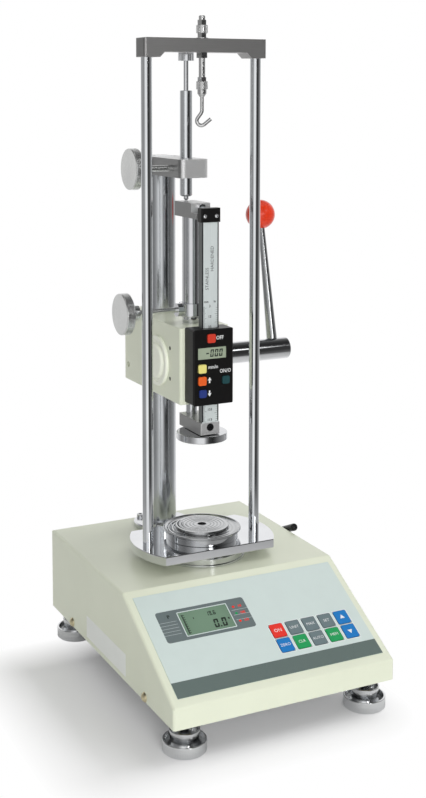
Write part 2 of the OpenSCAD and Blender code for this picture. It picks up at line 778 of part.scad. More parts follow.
// The hook's wire: straight shank, a bend to one side, and a bowl that ends in an open tip
module hook() {
    bend_a = 35;
    neck_r = 6;
    neck_z = coupler_top - coupler_h - 12.5;
    slant_l = 5.2;
    tip_a = 40;
    tip_l = 8;
    p1 = [-neck_r + neck_r * cos(bend_a), neck_z - neck_r * sin(bend_a)];
    p2 = p1 - slant_l * [sin(bend_a), cos(bend_a)];
    mid = p2 + bowl_r * [cos(bend_a), -sin(bend_a)];
    p3 = mid + bowl_r * [sin(tip_a), -cos(tip_a)];
    color(chrome) translate([0, axis_y, 0]) rotate([0, 0, hook_turn]) union() {
        // A ball a hair thicker than the wire joins each pair of stretches
        for (p = [[0, neck_z], p1, p2, p3]) translate([p.x, 0, p.y]) sphere(r = wire_r + 0.02);
        translate([0, 0, neck_z]) cylinder(r = wire_r, h = coupler_top - coupler_h + 7 - neck_z);
        translate([-neck_r, 0, neck_z]) rotate([90, 0, 0]) rotate([0, 0, -bend_a])
            rotate_extrude(angle = bend_a) translate([neck_r, 0]) circle(r = wire_r, $fn = 32);
        translate([p2.x, 0, p2.y]) rotate([0, bend_a, 0]) cylinder(r = wire_r, h = slant_l);
        translate([mid.x, 0, mid.y]) rotate([90, 0, 0]) rotate([0, 0, 180 - bend_a])
            rotate_extrude(angle = 90 + bend_a + tip_a) translate([bowl_r, 0]) circle(r = wire_r, $fn = 32);
        translate([p3.x, 0, p3.y]) rotate([0, 90 - tip_a, 0]) cylinder(r = wire_r, h = tip_l);
    }
}

// Column and its foot
module column() {
    low = base_top - sheet_t - pedestal_seat + 1;
    color(chrome) translate([0, column_y, low]) rotate_extrude($fn = 96)
        polygon(rounded(rect(0, 0, column_r, column_top - low), [0, 0.8, 1, 0], 3));
}
module column_flange() {
    color(chrome) difference() {
        translate([0, column_y, base_top]) rotate_extrude($fn = 96)
            polygon(rounded([
                [column_r + fit, 0], [flange_r, 0], [flange_r, flange_t - 1], [flange_r - 1.5, flange_t],
                [column_r + flange_collar, flange_t], [column_r + flange_collar - 1.5, flange_t + 2],
                [column_r + fit, flange_t + 2]
            ], [0, 0.3, 0.4, 0.4, 0.6, 0.6, 0], 3));
        flange_screw_places() translate([0, 0, base_top - 1]) cylinder(r = 2.2, h = 20);
    }
}

// Bracket on top of the column, with the stop tube in its arm
module top_bracket() {
    front = stop_y - arm_front;
    rear = column_y + column_r + 11;
    slit = 3;
    color(satin) translate([0, 0, bracket_z]) difference() {
        union() {
            linear_extrude(bracket_h) polygon(rounded(rect(-arm_half, front, arm_half, rear),
                [arm_corner, arm_corner, 2, 2], 8));
            translate([0, column_y, 0]) cylinder(r = boss_r, h = bracket_h, $fn = 96);
        }
        translate([0, column_y, -1]) cylinder(r = column_r + fit, h = bracket_h + 2);
        translate([-slit / 2, column_y, -1]) cube([slit, 60, bracket_h + 2]);
        translate([0, stop_y, -1]) cylinder(r = stop_tube_r + fit, h = bracket_h + 2);
        translate([-arm_half - 1, stop_y, bracket_h / 2]) rod_x(bracket_screw_r + fit, arm_half + 1);
        translate([-arm_half - 1, rear - 5.5, bracket_h / 2]) rod_x(2.5 + fit, 2 * arm_half + 2);
        translate([arm_half - 5, rear - 5.5, bracket_h / 2]) rod_x(4.4, 10);
    }
}
module stop_tube() {
    color(chrome) translate([0, stop_y, stop_tube_z]) rotate_extrude()
        polygon(rounded(rect(stop_screw_r + fit, 0, stop_tube_r, stop_tube_l), [0, 2, 0.5, 0], 5));
}
module stop_screw() {
    shank = stop_tip_l + stop_tube_l + stop_neck_l;
    grips = 24;
    color(chrome) translate([0, stop_y, stop_tip_z]) difference() {
        rotate_extrude() polygon(rounded([
            [0, 0], [stop_screw_r, 0], [stop_screw_r, shank], [stop_head_r, shank],
            [stop_head_r, shank + stop_head_h], [0, shank + stop_head_h]
        ], [0, stop_screw_r * 0.96, 0, 0.5, 0.8, 0], 6));
        for (i = [0:grips - 1]) rotate([0, 0, i * 360 / grips])
            translate([stop_head_r + 0.15, 0, shank - 1]) cylinder(r = 0.45, h = stop_head_h + 2, $fn = 4);
    }
}

// A clamp knob: a disc and a hub on a long screw, its face at the origin and its axis to +X
module clamp_knob(screw_r, reach) {
    color(chrome) difference() {
        rotate([0, 90, 0]) rotate_extrude($fn = 96) polygon(rounded([
            [0, 0], [knob_r, 0], [knob_r, knob_t], [hub_r, knob_t], [hub_r, knob_t + hub_l],
            [screw_r, knob_t + hub_l], [screw_r, reach], [0, reach]
        ], [0, 0.8, 0.8, 0.4, 0.4, 0, 0.4, 0], 4));
        translate([knob_t + hub_l / 2, 0, 0]) rotate([90, 0, 0]) cylinder(r = 1.9, h = hub_r + 1);
    }
}
module bracket_knob() {
    translate([-bracket_knob_x, stop_y, bracket_axis_z])
        clamp_knob(bracket_screw_r, bracket_knob_x - stop_tube_r - 0.1);
}
module collar_knob() {
    translate([-collar_knob_x, ram_y, collar_axis_z])
        clamp_knob(collar_screw_r, collar_knob_x - ram_r - 0.15);
}
module stop_collar() {
    boss = collar_h / 2;
    reach = 16.5;
    color(satin) translate([0, ram_y, 0]) difference() {
        union() {
            translate([0, 0, collar_z]) rotate_extrude($fn = 96)
                polygon(rounded(rect(ram_r + fit + 0.05, 0, collar_r, collar_h), [0, 0.6, 0.6, 0], 3));
            difference() {
                translate([-reach, 0, collar_axis_z]) rod_x(boss, reach);
                translate([0, 0, collar_z - 1]) cylinder(r = ram_r + 1, h = collar_h + 2, $fn = 96);
            }
        }
        translate([-reach - 1, 0, collar_axis_z]) rod_x(collar_screw_r + fit, reach);
    }
}

// Head: the painted block that is clamped on the column and holds the ram and the pinion
module head_body() {
    slit = 3;
    rear = head_y + head_d;
    clamp_y = (column_y + column_r + rear) / 2;
    color(cream) difference() {
        intersection() {
            translate([0, 0, head_z]) linear_extrude(head_h)
                polygon(rounded(rect(-head_w / 2, head_y, head_w / 2, rear),
                    [head_corner, head_corner, head_corner, head_corner]));
            translate([0, head_y + head_d / 2, head_z]) along_x(head_w + 1)
                polygon(rounded(rect(-head_d / 2, 0, head_d / 2, head_h), [1, 1, 1, 1], 3));
            translate([0, head_y + head_d / 2, head_z]) along_y(head_d + 1)
                polygon(rounded(rect(-head_w / 2, 0, head_w / 2, head_h), [1, 1, 1, 1], 3));
        }
        translate([0, column_y, head_z - 1]) cylinder(r = column_r + fit, h = head_h + 2, $fn = 96);
        translate([-slit / 2, column_y, head_z - 1]) cube([slit, 80, head_h + 2]);
        translate([0, ram_y, head_z - 1]) cylinder(r = ram_r + fit, h = head_h + 2, $fn = 96);
        translate([-head_w / 2 - 1, pinion_y, pinion_z]) rod_x(cavity_r, head_w / 2 + 1 + wall_x);
        translate([0, pinion_y, pinion_z]) rod_x(bush_r + fit, head_w);
        for (z = [head_z + 16, head_top - 16]) translate([0, clamp_y, z]) {
            translate([-head_w, 0, 0]) rod_x(3 + fit, 2 * head_w);
            translate([head_w / 2 - 6.5, 0, 0]) rod_x(5.4, 10);
        }
        gib_places() translate([-1, 0, 0]) rod_x(2 + fit, 9);
    }
}
module gib_places() {
    for (s = [-1, 1]) translate([-head_w / 2, head_y + 23.5, pinion_z + 2 + s * 15]) children();
}
// Round cover of the return spring, with a rim that enters the head's bore
module head_cover() {
    dome_r = cover_r * 0.66;
    wall = 1.5;
    rim_r = cavity_r - fit;
    color(cream) translate([-head_w / 2, pinion_y, pinion_z]) rotate([0, -90, 0])
        rotate_extrude($fn = 96) polygon(rounded([
            [0, 1], [rim_r - wall, 1], [rim_r - wall, -spring_pocket], [rim_r, -spring_pocket],
            [rim_r, 0], [cover_r, 0], [cover_r, cover_t], [cover_r - 4, cover_t],
            [cover_r - 4.6, cover_t - 1.2], [dome_r + 1.4, cover_t - 1.2], [dome_r, cover_t + 1.8],
            [0, cover_t + 3.4]
        ], [0, 0, 0, 0, 0, 0, 1.4, 0.6, 0.3, 0.4, 2.4, 0], 4));
}
// Spiral spring that lifts the ram again, made of half circles about two centres
module return_spring() {
    inner = journal_r + 0.3;
    outer = cavity_r - fit - 1.5 - 0.3;
    step = (outer - spring_t - inner) / (2 * spring_turns);
    color([0.35, 0.4, 0.5]) translate([0.4 - head_w / 2, pinion_y, pinion_z]) rotate([90, 0, 90])
        for (i = [0:2 * spring_turns - 1]) translate([i % 2 * step, 0, 0])
            rotate([0, 0, i % 2 * 180]) rotate_extrude(angle = 180, $fn = 48)
                translate([inner + i * step, 0]) square([spring_t, spring_w]);
}
// Two bronze bushes: a wide one between the pinion and the spring, and one in the right wall
module shaft_bushes() {
    left_x = spring_pocket - head_w / 2;
    color([0.7, 0.5, 0.25]) translate([0, pinion_y, pinion_z]) {
        difference() {
            translate([left_x, 0, 0]) rod_x(cavity_r - fit, -wall_x - left_x);
            translate([-head_w, 0, 0]) rod_x(journal_r + fit, head_w);
        }
        difference() {
            translate([wall_x, 0, 0]) rod_x(bush_r, head_w / 2 - wall_x);
            rod_x(journal_r + fit, head_w);
        }
    }
}

// Involute pinion: the flank's angle from the middle of its tooth at radius r
press_a = 20;
pinion_base = pinion_r * cos(press_a);
function inv(a) = tan(a) * 180 / PI - a;
function flank(r) =
    90 / pinion_n - backlash / 4 / pinion_r * 180 / PI + inv(press_a) - inv(acos(min(1, pinion_base / r)));
function polar(r, a) = [r * cos(a), r * sin(a)];
module pinion_outline() {
    tip = pinion_r + tooth_m;
    root = pinion_r - 1.25 * tooth_m;
    steps = 5;
    radii = [for (i = [0:steps]) pinion_base + (tip - pinion_base) * i / steps];
    polygon([
        for (t = [0:pinion_n - 1])
            let (a = t * 360 / pinion_n)
            each concat(
                [polar(root, a - flank(pinion_base))],
                [for (r = radii) polar(r, a - flank(r))],
                [for (i = [steps:-1:0]) polar(radii[i], a + flank(radii[i]))],
                [polar(root, a + flank(pinion_base))]
            )
    ]);
}
module pinion_shaft() {
    out = head_w / 2 + 0.5;
    color(chrome) translate([0, pinion_y, pinion_z]) difference() {
        union() {
            // One tooth points at the ram
            rotate([0, 0, 180]) rotate([90, 0, 90]) linear_extrude(pinion_w, center = true)
                pinion_outline();
            translate([-head_w / 2 + 0.5, 0, 0]) rod_x(journal_r, head_w);
            translate([out, 0, 0]) rotate([0, 90, 0]) rotate_extrude($fn = 96)
                polygon(rounded(rect(0, 0, lever_shaft_r, lever_shaft_x - out), [0, 0.6, 1.2, 0], 4));
        }
        translate([lever_x, 0, 0]) rotate([-lever_lean, 0, 0]) cylinder(r = lever_r0 - 1.4 + fit, h = 30);
    }
}
module lever_frame() {
    translate([lever_x, pinion_y, pinion_z]) rotate([-lever_lean, 0, 0]) children();
}
module lever_rod() {
    foot = lever_shaft_r + 0.1;
    neck = lever_l - ball_r + 0.6;
    color(chrome) lever_frame() union() {
        translate([0, 0, 1]) cylinder(r = lever_r0 - 1.4, h = foot);
        translate([0, 0, foot]) cylinder(r1 = lever_r0, r2 = lever_r1, h = neck - foot);
        translate([0, 0, neck - eps]) cylinder(r = lever_r1 - 0.5, h = ball_r * 0.9);
    }
}
module ball_knob() {
    color([0.85, 0.16, 0.08]) lever_frame() difference() {
        translate([0, 0, lever_l]) rotate_extrude($fn = 96) intersection() {
            circle(r = ball_r, $fn = 96);
            translate([0, -ball_r + 0.7]) square([ball_r, 2 * ball_r]);
        }
        cylinder(r = lever_r1 - 0.5 + fit, h = lever_l + 2);
    }
}

// Ram with the rack cut in its back
module rack_spaces() {
    pitch = PI * tooth_m;
    half = pitch / 4 + backlash / 4;
    out = tooth_m + 1;
    deep = 1.25 * tooth_m;
    count = floor(rack_l / pitch / 2);
    low = -3;
    for (i = [low:low + 2 * count - 1]) translate([0, pinion_y - pinion_r, pinion_z + i * pitch])
        along_x(3 * ram_r) polygon([
            [-deep, -half + deep * tan(press_a)], [out, -half - out * tan(press_a)],
            [out, half + out * tan(press_a)], [-deep, half - deep * tan(press_a)]
        ]);
}
module ram() {
    pitch = PI * tooth_m;
    flat_z = pinion_z - 3.6 * pitch;
    flat_l = (2 * floor(rack_l / pitch / 2) + 0.2) * pitch;
    color(chrome) difference() {
        union() {
            translate([0, ram_y, ram_shoulder]) rotate_extrude($fn = 96)
                polygon(rounded(rect(0, 0, ram_r, top_block_z - ram_shoulder), [0, 0.8, 0, 0], 3));
            translate([0, ram_y, low_block_z + 1]) cylinder(r = spigot_r, h = ram_shoulder - low_block_z);
            translate([0, ram_y, top_block_z - 1]) cylinder(r = 5, h = 9);
        }
        translate([-ram_r, ram_y + rack_off + tooth_m, flat_z]) cube([2 * ram_r, ram_r, flat_l]);
        rack_spaces();
    }
}
module ram_top_block() {
    rear = stop_y + top_block_rear;
    color(satin) difference() {
        translate([0, 0, top_block_z]) along_x(2 * block_half) polygon(rounded([
            [beam_back, 0], [rear, 0], [rear, top_block_h], [wall_y, top_block_h], [wall_y, ledge_h],
            [beam_back, ledge_h]
        ], [0.4, 0.8, 0.8, 0.8, 0.8, 0.4], 3));
        translate([0, ram_y, top_block_z - 1]) cylinder(r = 5 + fit, h = 10);
        translate([0, wall_y - 1, cross_screw_z]) rod_y(2 + fit, 10);
        for (x = [-rivet_x, rivet_x]) translate([x, beam_back - 1, rivet_z]) rod_y(1.2 + fit, 8);
    }
}
module scale_beam() {
    h = beam_top - low_block_top;
    color([0.8, 0.82, 0.82]) difference() {
        union() {
            translate([0, 0, low_block_top]) linear_extrude(h) polygon([
                [-beam_half, beam_y], [beam_half, beam_y], [beam_half, beam_y + beam_front_t],
                [beam_half - beam_step, beam_y + beam_front_t + 0.6], [beam_half - beam_step, beam_back],
                [-beam_half + beam_step, beam_back], [-beam_half + beam_step, beam_y + beam_front_t + 0.6],
                [-beam_half, beam_y + beam_front_t]
            ]);
            translate([-tongue_w / 2, beam_y + tongue_in, low_block_top - tongue_l])
                cube([tongue_w, tongue_t, tongue_l + tongue_gap]);
        }
        for (x = [-rivet_x, rivet_x]) translate([x, beam_y - 1, rivet_z]) rod_y(1.4, 20);
        translate([0, beam_y - 1, low_screw_z]) rod_y(2.2, 20);
    }
}
module scale_end_cap() {
    w = beam_half + 1.4;
    front = beam_y - 1.3;
    top = beam_top + 1.2;
    color(black) difference() {
        translate([0, 0, top - cap_h]) linear_extrude(cap_h)
            polygon(rounded(rect(-w, front, w, front + 8), [1, 1, 0.4, 0.4], 4));
        translate([-beam_half - fit, beam_y - fit, top - cap_h - 1])
            cube([2 * (beam_half + fit), 20, cap_h + 1 - 1.2 + fit]);
        for (x = [-rivet_x, rivet_x]) translate([x, front - 1, rivet_z]) rod_y(1.4, 20);
    }
}
module ram_screws() {
    color(chrome) {
        for (x = [-rivet_x, rivet_x]) translate([x, beam_y - 1.3, rivet_z]) {
            rod_y(1.2, 15);
            rotate([90, 0, 0]) rotate_extrude($fn = 32) intersection() {
                translate([0, -1.1]) circle(r = 2.3);
                square([1.9, 2]);
            }
        }
        translate([0, wall_y, cross_screw_z]) rotate([90, 0, 0]) cap_screw(2, 8, 3.5, 4);
        translate([0, beam_y + 2.6, low_screw_z]) rotate([90, 0, 0])
            cap_screw(2, ram_y - spigot_r - beam_y - 3.2, 3.5, 2.4);
    }
}
module ram_bottom_block() {
    rear = ram_y + low_block_rear;
    color(satin) difference() {
        intersection() {
            translate([0, 0, low_block_z]) linear_extrude(low_block_h)
                polygon(rounded(rect(-block_half, beam_y, block_half, rear), [0.8, 0.8, 2, 2], 4));
            translate([0, 0, low_block_z]) along_x(4 * block_half)
                polygon(rounded(rect(beam_y, 0, rear, low_block_h), [0.6, 0.6, 0.6, 0], 3));
        }
        translate([0, ram_y, low_block_z - 1]) cylinder(r = spigot_r + fit, h = low_block_h + 2);
        translate([0, axis_y, low_block_z - 1]) cylinder(r = 4 + fit, h = 1 + 4.6);
        translate([
            -tongue_w / 2 - tongue_gap, beam_y + tongue_in - tongue_gap,
            low_block_top - tongue_l - tongue_gap
        ]) cube([tongue_w + 2 * tongue_gap, tongue_t + 2 * tongue_gap, tongue_l + 1 + tongue_gap]);
        translate([0, beam_y - 1, low_screw_z]) rod_y(3.8, 3.6);
        translate([0, beam_y - 1, low_screw_z]) rod_y(2 + fit, ram_y - spigot_r - beam_y + 1);
    }
}
module pressure_disc() {
    neck = 0.6;
    color(chrome) translate([0, axis_y, low_block_z - neck - disc_t]) rotate_extrude($fn = 128)
        polygon(rounded([
            [0, 0], [disc_r, 0], [disc_r, disc_t], [8, disc_t], [8, disc_t + neck],
            [4, disc_t + neck], [4, disc_t + neck + 4.3], [0, disc_t + neck + 4.3]
        ], [0, 0.6, 0.8, 0, 0, 0, 0.4, 0], 4));
}

// Digital readout: a housing that the scale beam slides through, with five buttons
function button_x(i) = [-2.5, -12.1, -12.1, -11.5, 12.9][i];
function button_z(i) = [64, 35.5, 23.7, 11.5, 23][i];
module button_places(i) {
    translate([button_x(i), readout_y, readout_z + button_z(i)]) children();
}
module button_prism(w, h, l) {
    rotate([-90, 0, 0]) linear_extrude(l) polygon(rounded(rect_at(w, h), [1.6, 1.6, 1.6, 1.6], 4));
}
function button_size(i) = i < 3 ? button_w : button_w - 0.8;
lcd_w = 29.8;
lcd_h = 11;
lcd_x = -1.5;
lcd_z = 49.8;
module readout_housing() {
    color(black) difference() {
        intersection() {
            translate([0, 0, readout_z]) linear_extrude(readout_h) polygon(rounded(
                rect(-readout_w / 2, readout_y, readout_w / 2, readout_back), [1.5, 1.5, 0.6, 0.6], 4));
            translate([0, readout_y + readout_d / 2, readout_z]) along_y(readout_d + 1) polygon(rounded(
                rect(-readout_w / 2, 0, readout_w / 2, readout_h), [2, 2, 2, 2], 4));
        }
        translate([-beam_half - loose, beam_y - loose, readout_z - 1])
            cube([2 * (beam_half + loose), beam_t + 2 * loose, readout_h + 2]);
        translate([lcd_x - lcd_w / 2, readout_y - 1, readout_z + lcd_z - lcd_h / 2])
            cube([lcd_w, 1.6, lcd_h]);
        translate([lcd_x - lcd_w / 2 + 1, readout_y, readout_z + lcd_z - lcd_h / 2 + 1])
            cube([lcd_w - 2, 3.6, lcd_h - 2]);
        for (i = [0:4]) button_places(i) translate([0, -1, 0])
            button_prism(button_size(i) + 2 * loose, button_size(i) + 2 * loose, 4.6);
        translate([-readout_w / 2 - 1, readout_screw_y, readout_screw_z]) rod_x(1.5, 3);
    }
}
module readout_lcd() {
    color([0.55, 0.6, 0.52]) {
        translate([lcd_x - lcd_w / 2 + 0.1, readout_y + 0.1, readout_z + lcd_z - lcd_h / 2 + 0.1])
            cube([lcd_w - 0.2, 0.5, lcd_h - 0.2]);
        translate([lcd_x - lcd_w / 2 + 1.1, readout_y + 0.6 - eps, readout_z + lcd_z - lcd_h / 2 + 1.1])
            cube([lcd_w - 2.2, 2.9, lcd_h - 2.2]);
    }
}
module readout_button(i, c) {
    color(c) button_places(i) translate([0, -button_up, 0])
        button_prism(button_size(i), button_size(i), button_up + 2.4);
}

// Front panel with the force display and ten keys
module key_at(row, col) {
    on_slope(key_x - (4 - col) * key_pitch_x, key_down + key_l / 2 + row * key_pitch_l) children();
}
module front_panel() {
    color([0.76, 0.81, 0.82]) difference() {
        on_slope(0, panel_top) translate([-panel_w / 2, -panel_l, 0]) cube([panel_w, panel_l, panel_t]);
        on_slope(display_x, display_down)
            translate([-display_w / 2, -display_l, -1]) cube([display_w, display_l, 5]);
        for (row = [0, 1], col = [0:4]) key_at(row, col) translate([0, 0, -1])
            linear_extrude(5) polygon(rounded(rect_at(key_w + 2 * loose, key_l + 2 * loose),
                [1.6, 1.6, 1.6, 1.6], 4));
    }
}
module force_display() {
    color([0.5, 0.56, 0.5]) on_slope(display_x, display_down) {
        translate([-display_w / 2 + 0.1, -display_l + 0.1, 0])
            cube([display_w - 0.2, display_l - 0.2, panel_t]);
        translate([-display_w / 2 + 1.2, -display_l + 1.2, -6])
            cube([display_w - 2.4, display_l - 2.4, 6 + eps]);
    }
}
module key_cap(row, col, c) {
    color(c) key_at(row, col) translate([0, 0, -1.6]) linear_extrude(1.6 + panel_t + key_up)
        polygon(rounded(rect_at(key_w, key_l), [1.4, 1.4, 1.4, 1.4], 4));
}

// Levelling foot: cup, upper ring and stud turned from one piece
module foot(sx, sy) {
    waist = 9.6;
    cup_floor = 4;
    top = base_lift + floor_t + 3;
    color(steel) translate([sx * foot_x, sy * foot_y, 0]) rotate_extrude($fn = 96) polygon(rounded([
        [0, 0], [foot_r - 1, 0], [foot_r, 1], [foot_r, cup_h], [foot_r - cup_wall, cup_h],
        [foot_r - cup_wall - 0.8, cup_floor + 0.6], [foot_r - 4, cup_floor], [spool_r - 1.4, waist],
        [spool_r, spool_h], [spool_r - 1.4, spool_h], [spool_r - 2.6, waist + 2],
        [stud_r, waist + 2], [stud_r, top], [0, top]
    ], [0, 0.3, 0.4, 0.5, 0.4, 1, 2, 4, 0.4, 0.3, 1.2, 0, 0.6, 0], 5));
}

// Side lock: a hub on the right wall, with an arm that lies along the wall and ends in a ball
module side_lock() {
    gap = 0.3;
    arm_x = lock_hub_l - lock_end_r;
    color(black) translate([base_w / 2 + gap, lock_y, base_top - lock_down]) union() {
        translate([-5, 0, 0]) rod_x(3, 6);
        rotate([0, 90, 0]) rotate_extrude()
            polygon(rounded(rect(0, 0, lock_hub_r, lock_hub_l), [0, 0.6, 2, 0], 4));
        translate([arm_x, 0, 0]) rotate([90 - asin(lock_rise / lock_arm_l), 0, 0]) {
            cylinder(r1 = lock_neck_r, r2 = lock_end_r, h = lock_arm_l);
            translate([0, 0, lock_arm_l]) sphere(r = lock_end_r + 0.02);
        }
    }
}

// Fasteners of the standing pieces
module socket_screws() {
    clamp_y = (column_y + column_r + head_y + head_d) / 2;
    color(black) {
        rod_places() {
            translate([0, 0, bar_top - 6.4]) cap_screw(3, 14, 5, 6);
            translate([0, 0, yoke_z + 6.2]) rotate([180, 0, 0]) cap_screw(3, 12, 5, 6);
        }
        translate([0, axis_y, yoke_top + 4.4]) cap_screw(plate_screw_r, 20, 4.1, 5);
        flange_screw_places() translate([0, 0, base_top + flange_t]) cap_screw(2, 14, 3.6, 3);
        for (z = [head_z + 16, head_top - 16]) translate([head_w / 2 - 6.5, clamp_y, z])
            rotate([0, 90, 0]) cap_screw(3, head_w - 14, 5, 6);
        translate([arm_half - 5, column_y + column_r + 5.5, bracket_axis_z])
            rotate([0, 90, 0]) cap_screw(2.5, 2 * arm_half - 8, 4.2, 4.6);
        gib_places() difference() {
            translate([0.2, 0, 0]) rod_x(2, 7);
            translate([-1, 0, 0]) rotate([0, 90, 0]) cylinder(r = 1.1, h = 3, $fn = 6);
        }
        cell_screw_places() translate([0, 0, base_lift + 6.3]) rotate([180, 0, 0])
            cap_screw(3, 17, 5, 6);
        translate([-readout_w / 2 + 0.2, readout_screw_y, readout_screw_z]) rod_x(1.5 - fit, 1.7);
    }
}

red = [0.88, 0.2, 0.12];
grey = [0.62, 0.62, 0.6];
blue = [0.1, 0.35, 0.75];
green = [0.1, 0.6, 0.35];

base_housing();
base_plate();
load_cell();
load_stem();
load_ring();
yoke_plate();
compression_plate();
frame_rods();
crossbar();
socket_screws();
hook_stud();
hook_coupler();
hook();
stop_tube();
stop_screw();
top_bracket();
bracket_knob();
column();
column_flange();
head_body();
head_cover();
return_spring();
shaft_bushes();
pinion_shaft();
lever_rod();
ball_knob();
ram();
ram_top_block();
scale_beam();
scale_end_cap();
ram_screws();
ram_bottom_block();
pressure_disc();
stop_collar();
collar_knob();
readout_housing();
readout_lcd();
readout_button(0, red);  // off_button
readout_button(1, [0.93, 0.9, 0.6]);  // unit_button
readout_button(2, [0.9, 0.45, 0.12]);  // preset_up_button
readout_button(3, [0.15, 0.22, 0.5]);  // preset_down_button
readout_button(4, [0.1, 0.25, 0.27]);  // zero_button
front_panel();
force_display();
key_cap(0, 0, red);  // key_a1
key_cap(0, 1, grey);  // key_a2
key_cap(0, 2, grey);  // key_a3
key_cap(0, 3, grey);  // key_a4
key_cap(0, 4, blue);  // key_a5
key_cap(1, 0, blue);  // key_b1
key_cap(1, 1, green);  // key_b2
key_cap(1, 2, grey);  // key_b3
key_cap(1, 3, green);  // key_b4
key_cap(1, 4, blue);  // key_b5
foot(-1, -1);  // foot_front_left
foot(1, -1);  // foot_front_right
foot(-1, 1);  // foot_rear_left
foot(1, 1);  // foot_rear_right
base_fasteners();
side_lock();
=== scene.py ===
import logging
import math
from collections.abc import Iterable
from dataclasses import dataclass
from enum import Enum

import bmesh
import bpy
from mathutils import Matrix, Vector


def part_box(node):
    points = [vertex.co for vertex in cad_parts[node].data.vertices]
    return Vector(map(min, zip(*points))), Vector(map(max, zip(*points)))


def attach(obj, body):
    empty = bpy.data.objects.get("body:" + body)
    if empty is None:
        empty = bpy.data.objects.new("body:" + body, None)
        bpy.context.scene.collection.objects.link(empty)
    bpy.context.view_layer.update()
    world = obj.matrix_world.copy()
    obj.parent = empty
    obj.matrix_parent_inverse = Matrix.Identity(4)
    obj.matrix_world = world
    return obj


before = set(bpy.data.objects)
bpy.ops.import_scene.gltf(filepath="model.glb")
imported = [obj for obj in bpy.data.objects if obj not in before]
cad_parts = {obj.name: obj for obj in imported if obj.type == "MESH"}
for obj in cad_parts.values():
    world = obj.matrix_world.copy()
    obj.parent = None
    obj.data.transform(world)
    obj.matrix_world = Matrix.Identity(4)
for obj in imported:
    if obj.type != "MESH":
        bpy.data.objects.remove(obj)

LOG = logging.getLogger("spring_tester")
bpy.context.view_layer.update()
# Lengths are in metres, and this turns a size in millimetres into them
MM = 0.001
# Steps in which a plate's corner is rounded
CORNER_STEPS = 5
Colour = tuple[float, float, float]
Point = tuple[float, float, float]
Span = tuple[float, float]
Box = tuple[float, float, float, float]
MADE: dict[str, bpy.types.Material] = {}


def shade(red: int, green: int, blue: int) -> Colour:
    """Turn a display colour into the linear one that a shader takes.

    Args:
        red: Red from 0 to 255.
        green: Green from 0 to 255.
        blue: Blue from 0 to 255.

    Returns:
        The linear red, green and blue.
    """
    def linear(value: float) -> float:
        """Return one channel without its display curve."""
        value /= 255
        return value / 12.92 if value <= 0.04045 else ((value + 0.055) / 1.055) ** 2.4

    return linear(red), linear(green), linear(blue)


class Axis(Enum):
    """A direction of the machine, as an index into a vector."""

    X = 0
    Y = 1
    Z = 2

    def stretch(self, share: float) -> list[float]:
        """Return a scale that draws a pattern out along this direction."""
        return [share if axis is self else 1.0 for axis in Axis]


class Arrow(Enum):
    """The way that a printed arrow points, as a sign along Y."""

    UP = 1
    DOWN = -1

    @property
    def spin(self) -> float:
        """Return the turn about Z of a triangle that points this way."""
        return 0.0 if self is Arrow.UP else math.pi


class Channel:
    """One number in a node tree, with its arithmetic written as Python."""

    def __init__(self, graph: "Graph", socket: bpy.types.NodeSocket) -> None:
        """Hold the socket and the graph that it belongs to."""
        self.graph = graph
        self.socket = socket

    def _with(self, operation: str, other: "Channel | float", swap: bool = False) -> "Channel":
        """Add a Math node on this number and another one.

        Args:
            operation: The Math node's operation.
            other: The second number.
            swap: True where the other number comes first.

        Returns:
            The node's result.
        """
        pair = (other, self) if swap else (self, other)
        return self.graph.math(operation, *pair)

    def __add__(self, other: "Channel | float") -> "Channel":
        """Return the sum."""
        return self._with("ADD", other)

    __radd__ = __add__

    def __sub__(self, other: "Channel | float") -> "Channel":
        """Return the difference."""
        return self._with("SUBTRACT", other)

    def __rsub__(self, other: "Channel | float") -> "Channel":
        """Return the difference with this number second."""
        return self._with("SUBTRACT", other, swap=True)

    def __mul__(self, other: "Channel | float") -> "Channel":
        """Return the product."""
        return self._with("MULTIPLY", other)

    __rmul__ = __mul__

    def __abs__(self) -> "Channel":
        """Return the size without its sign."""
        return self.graph.math("ABSOLUTE", self)


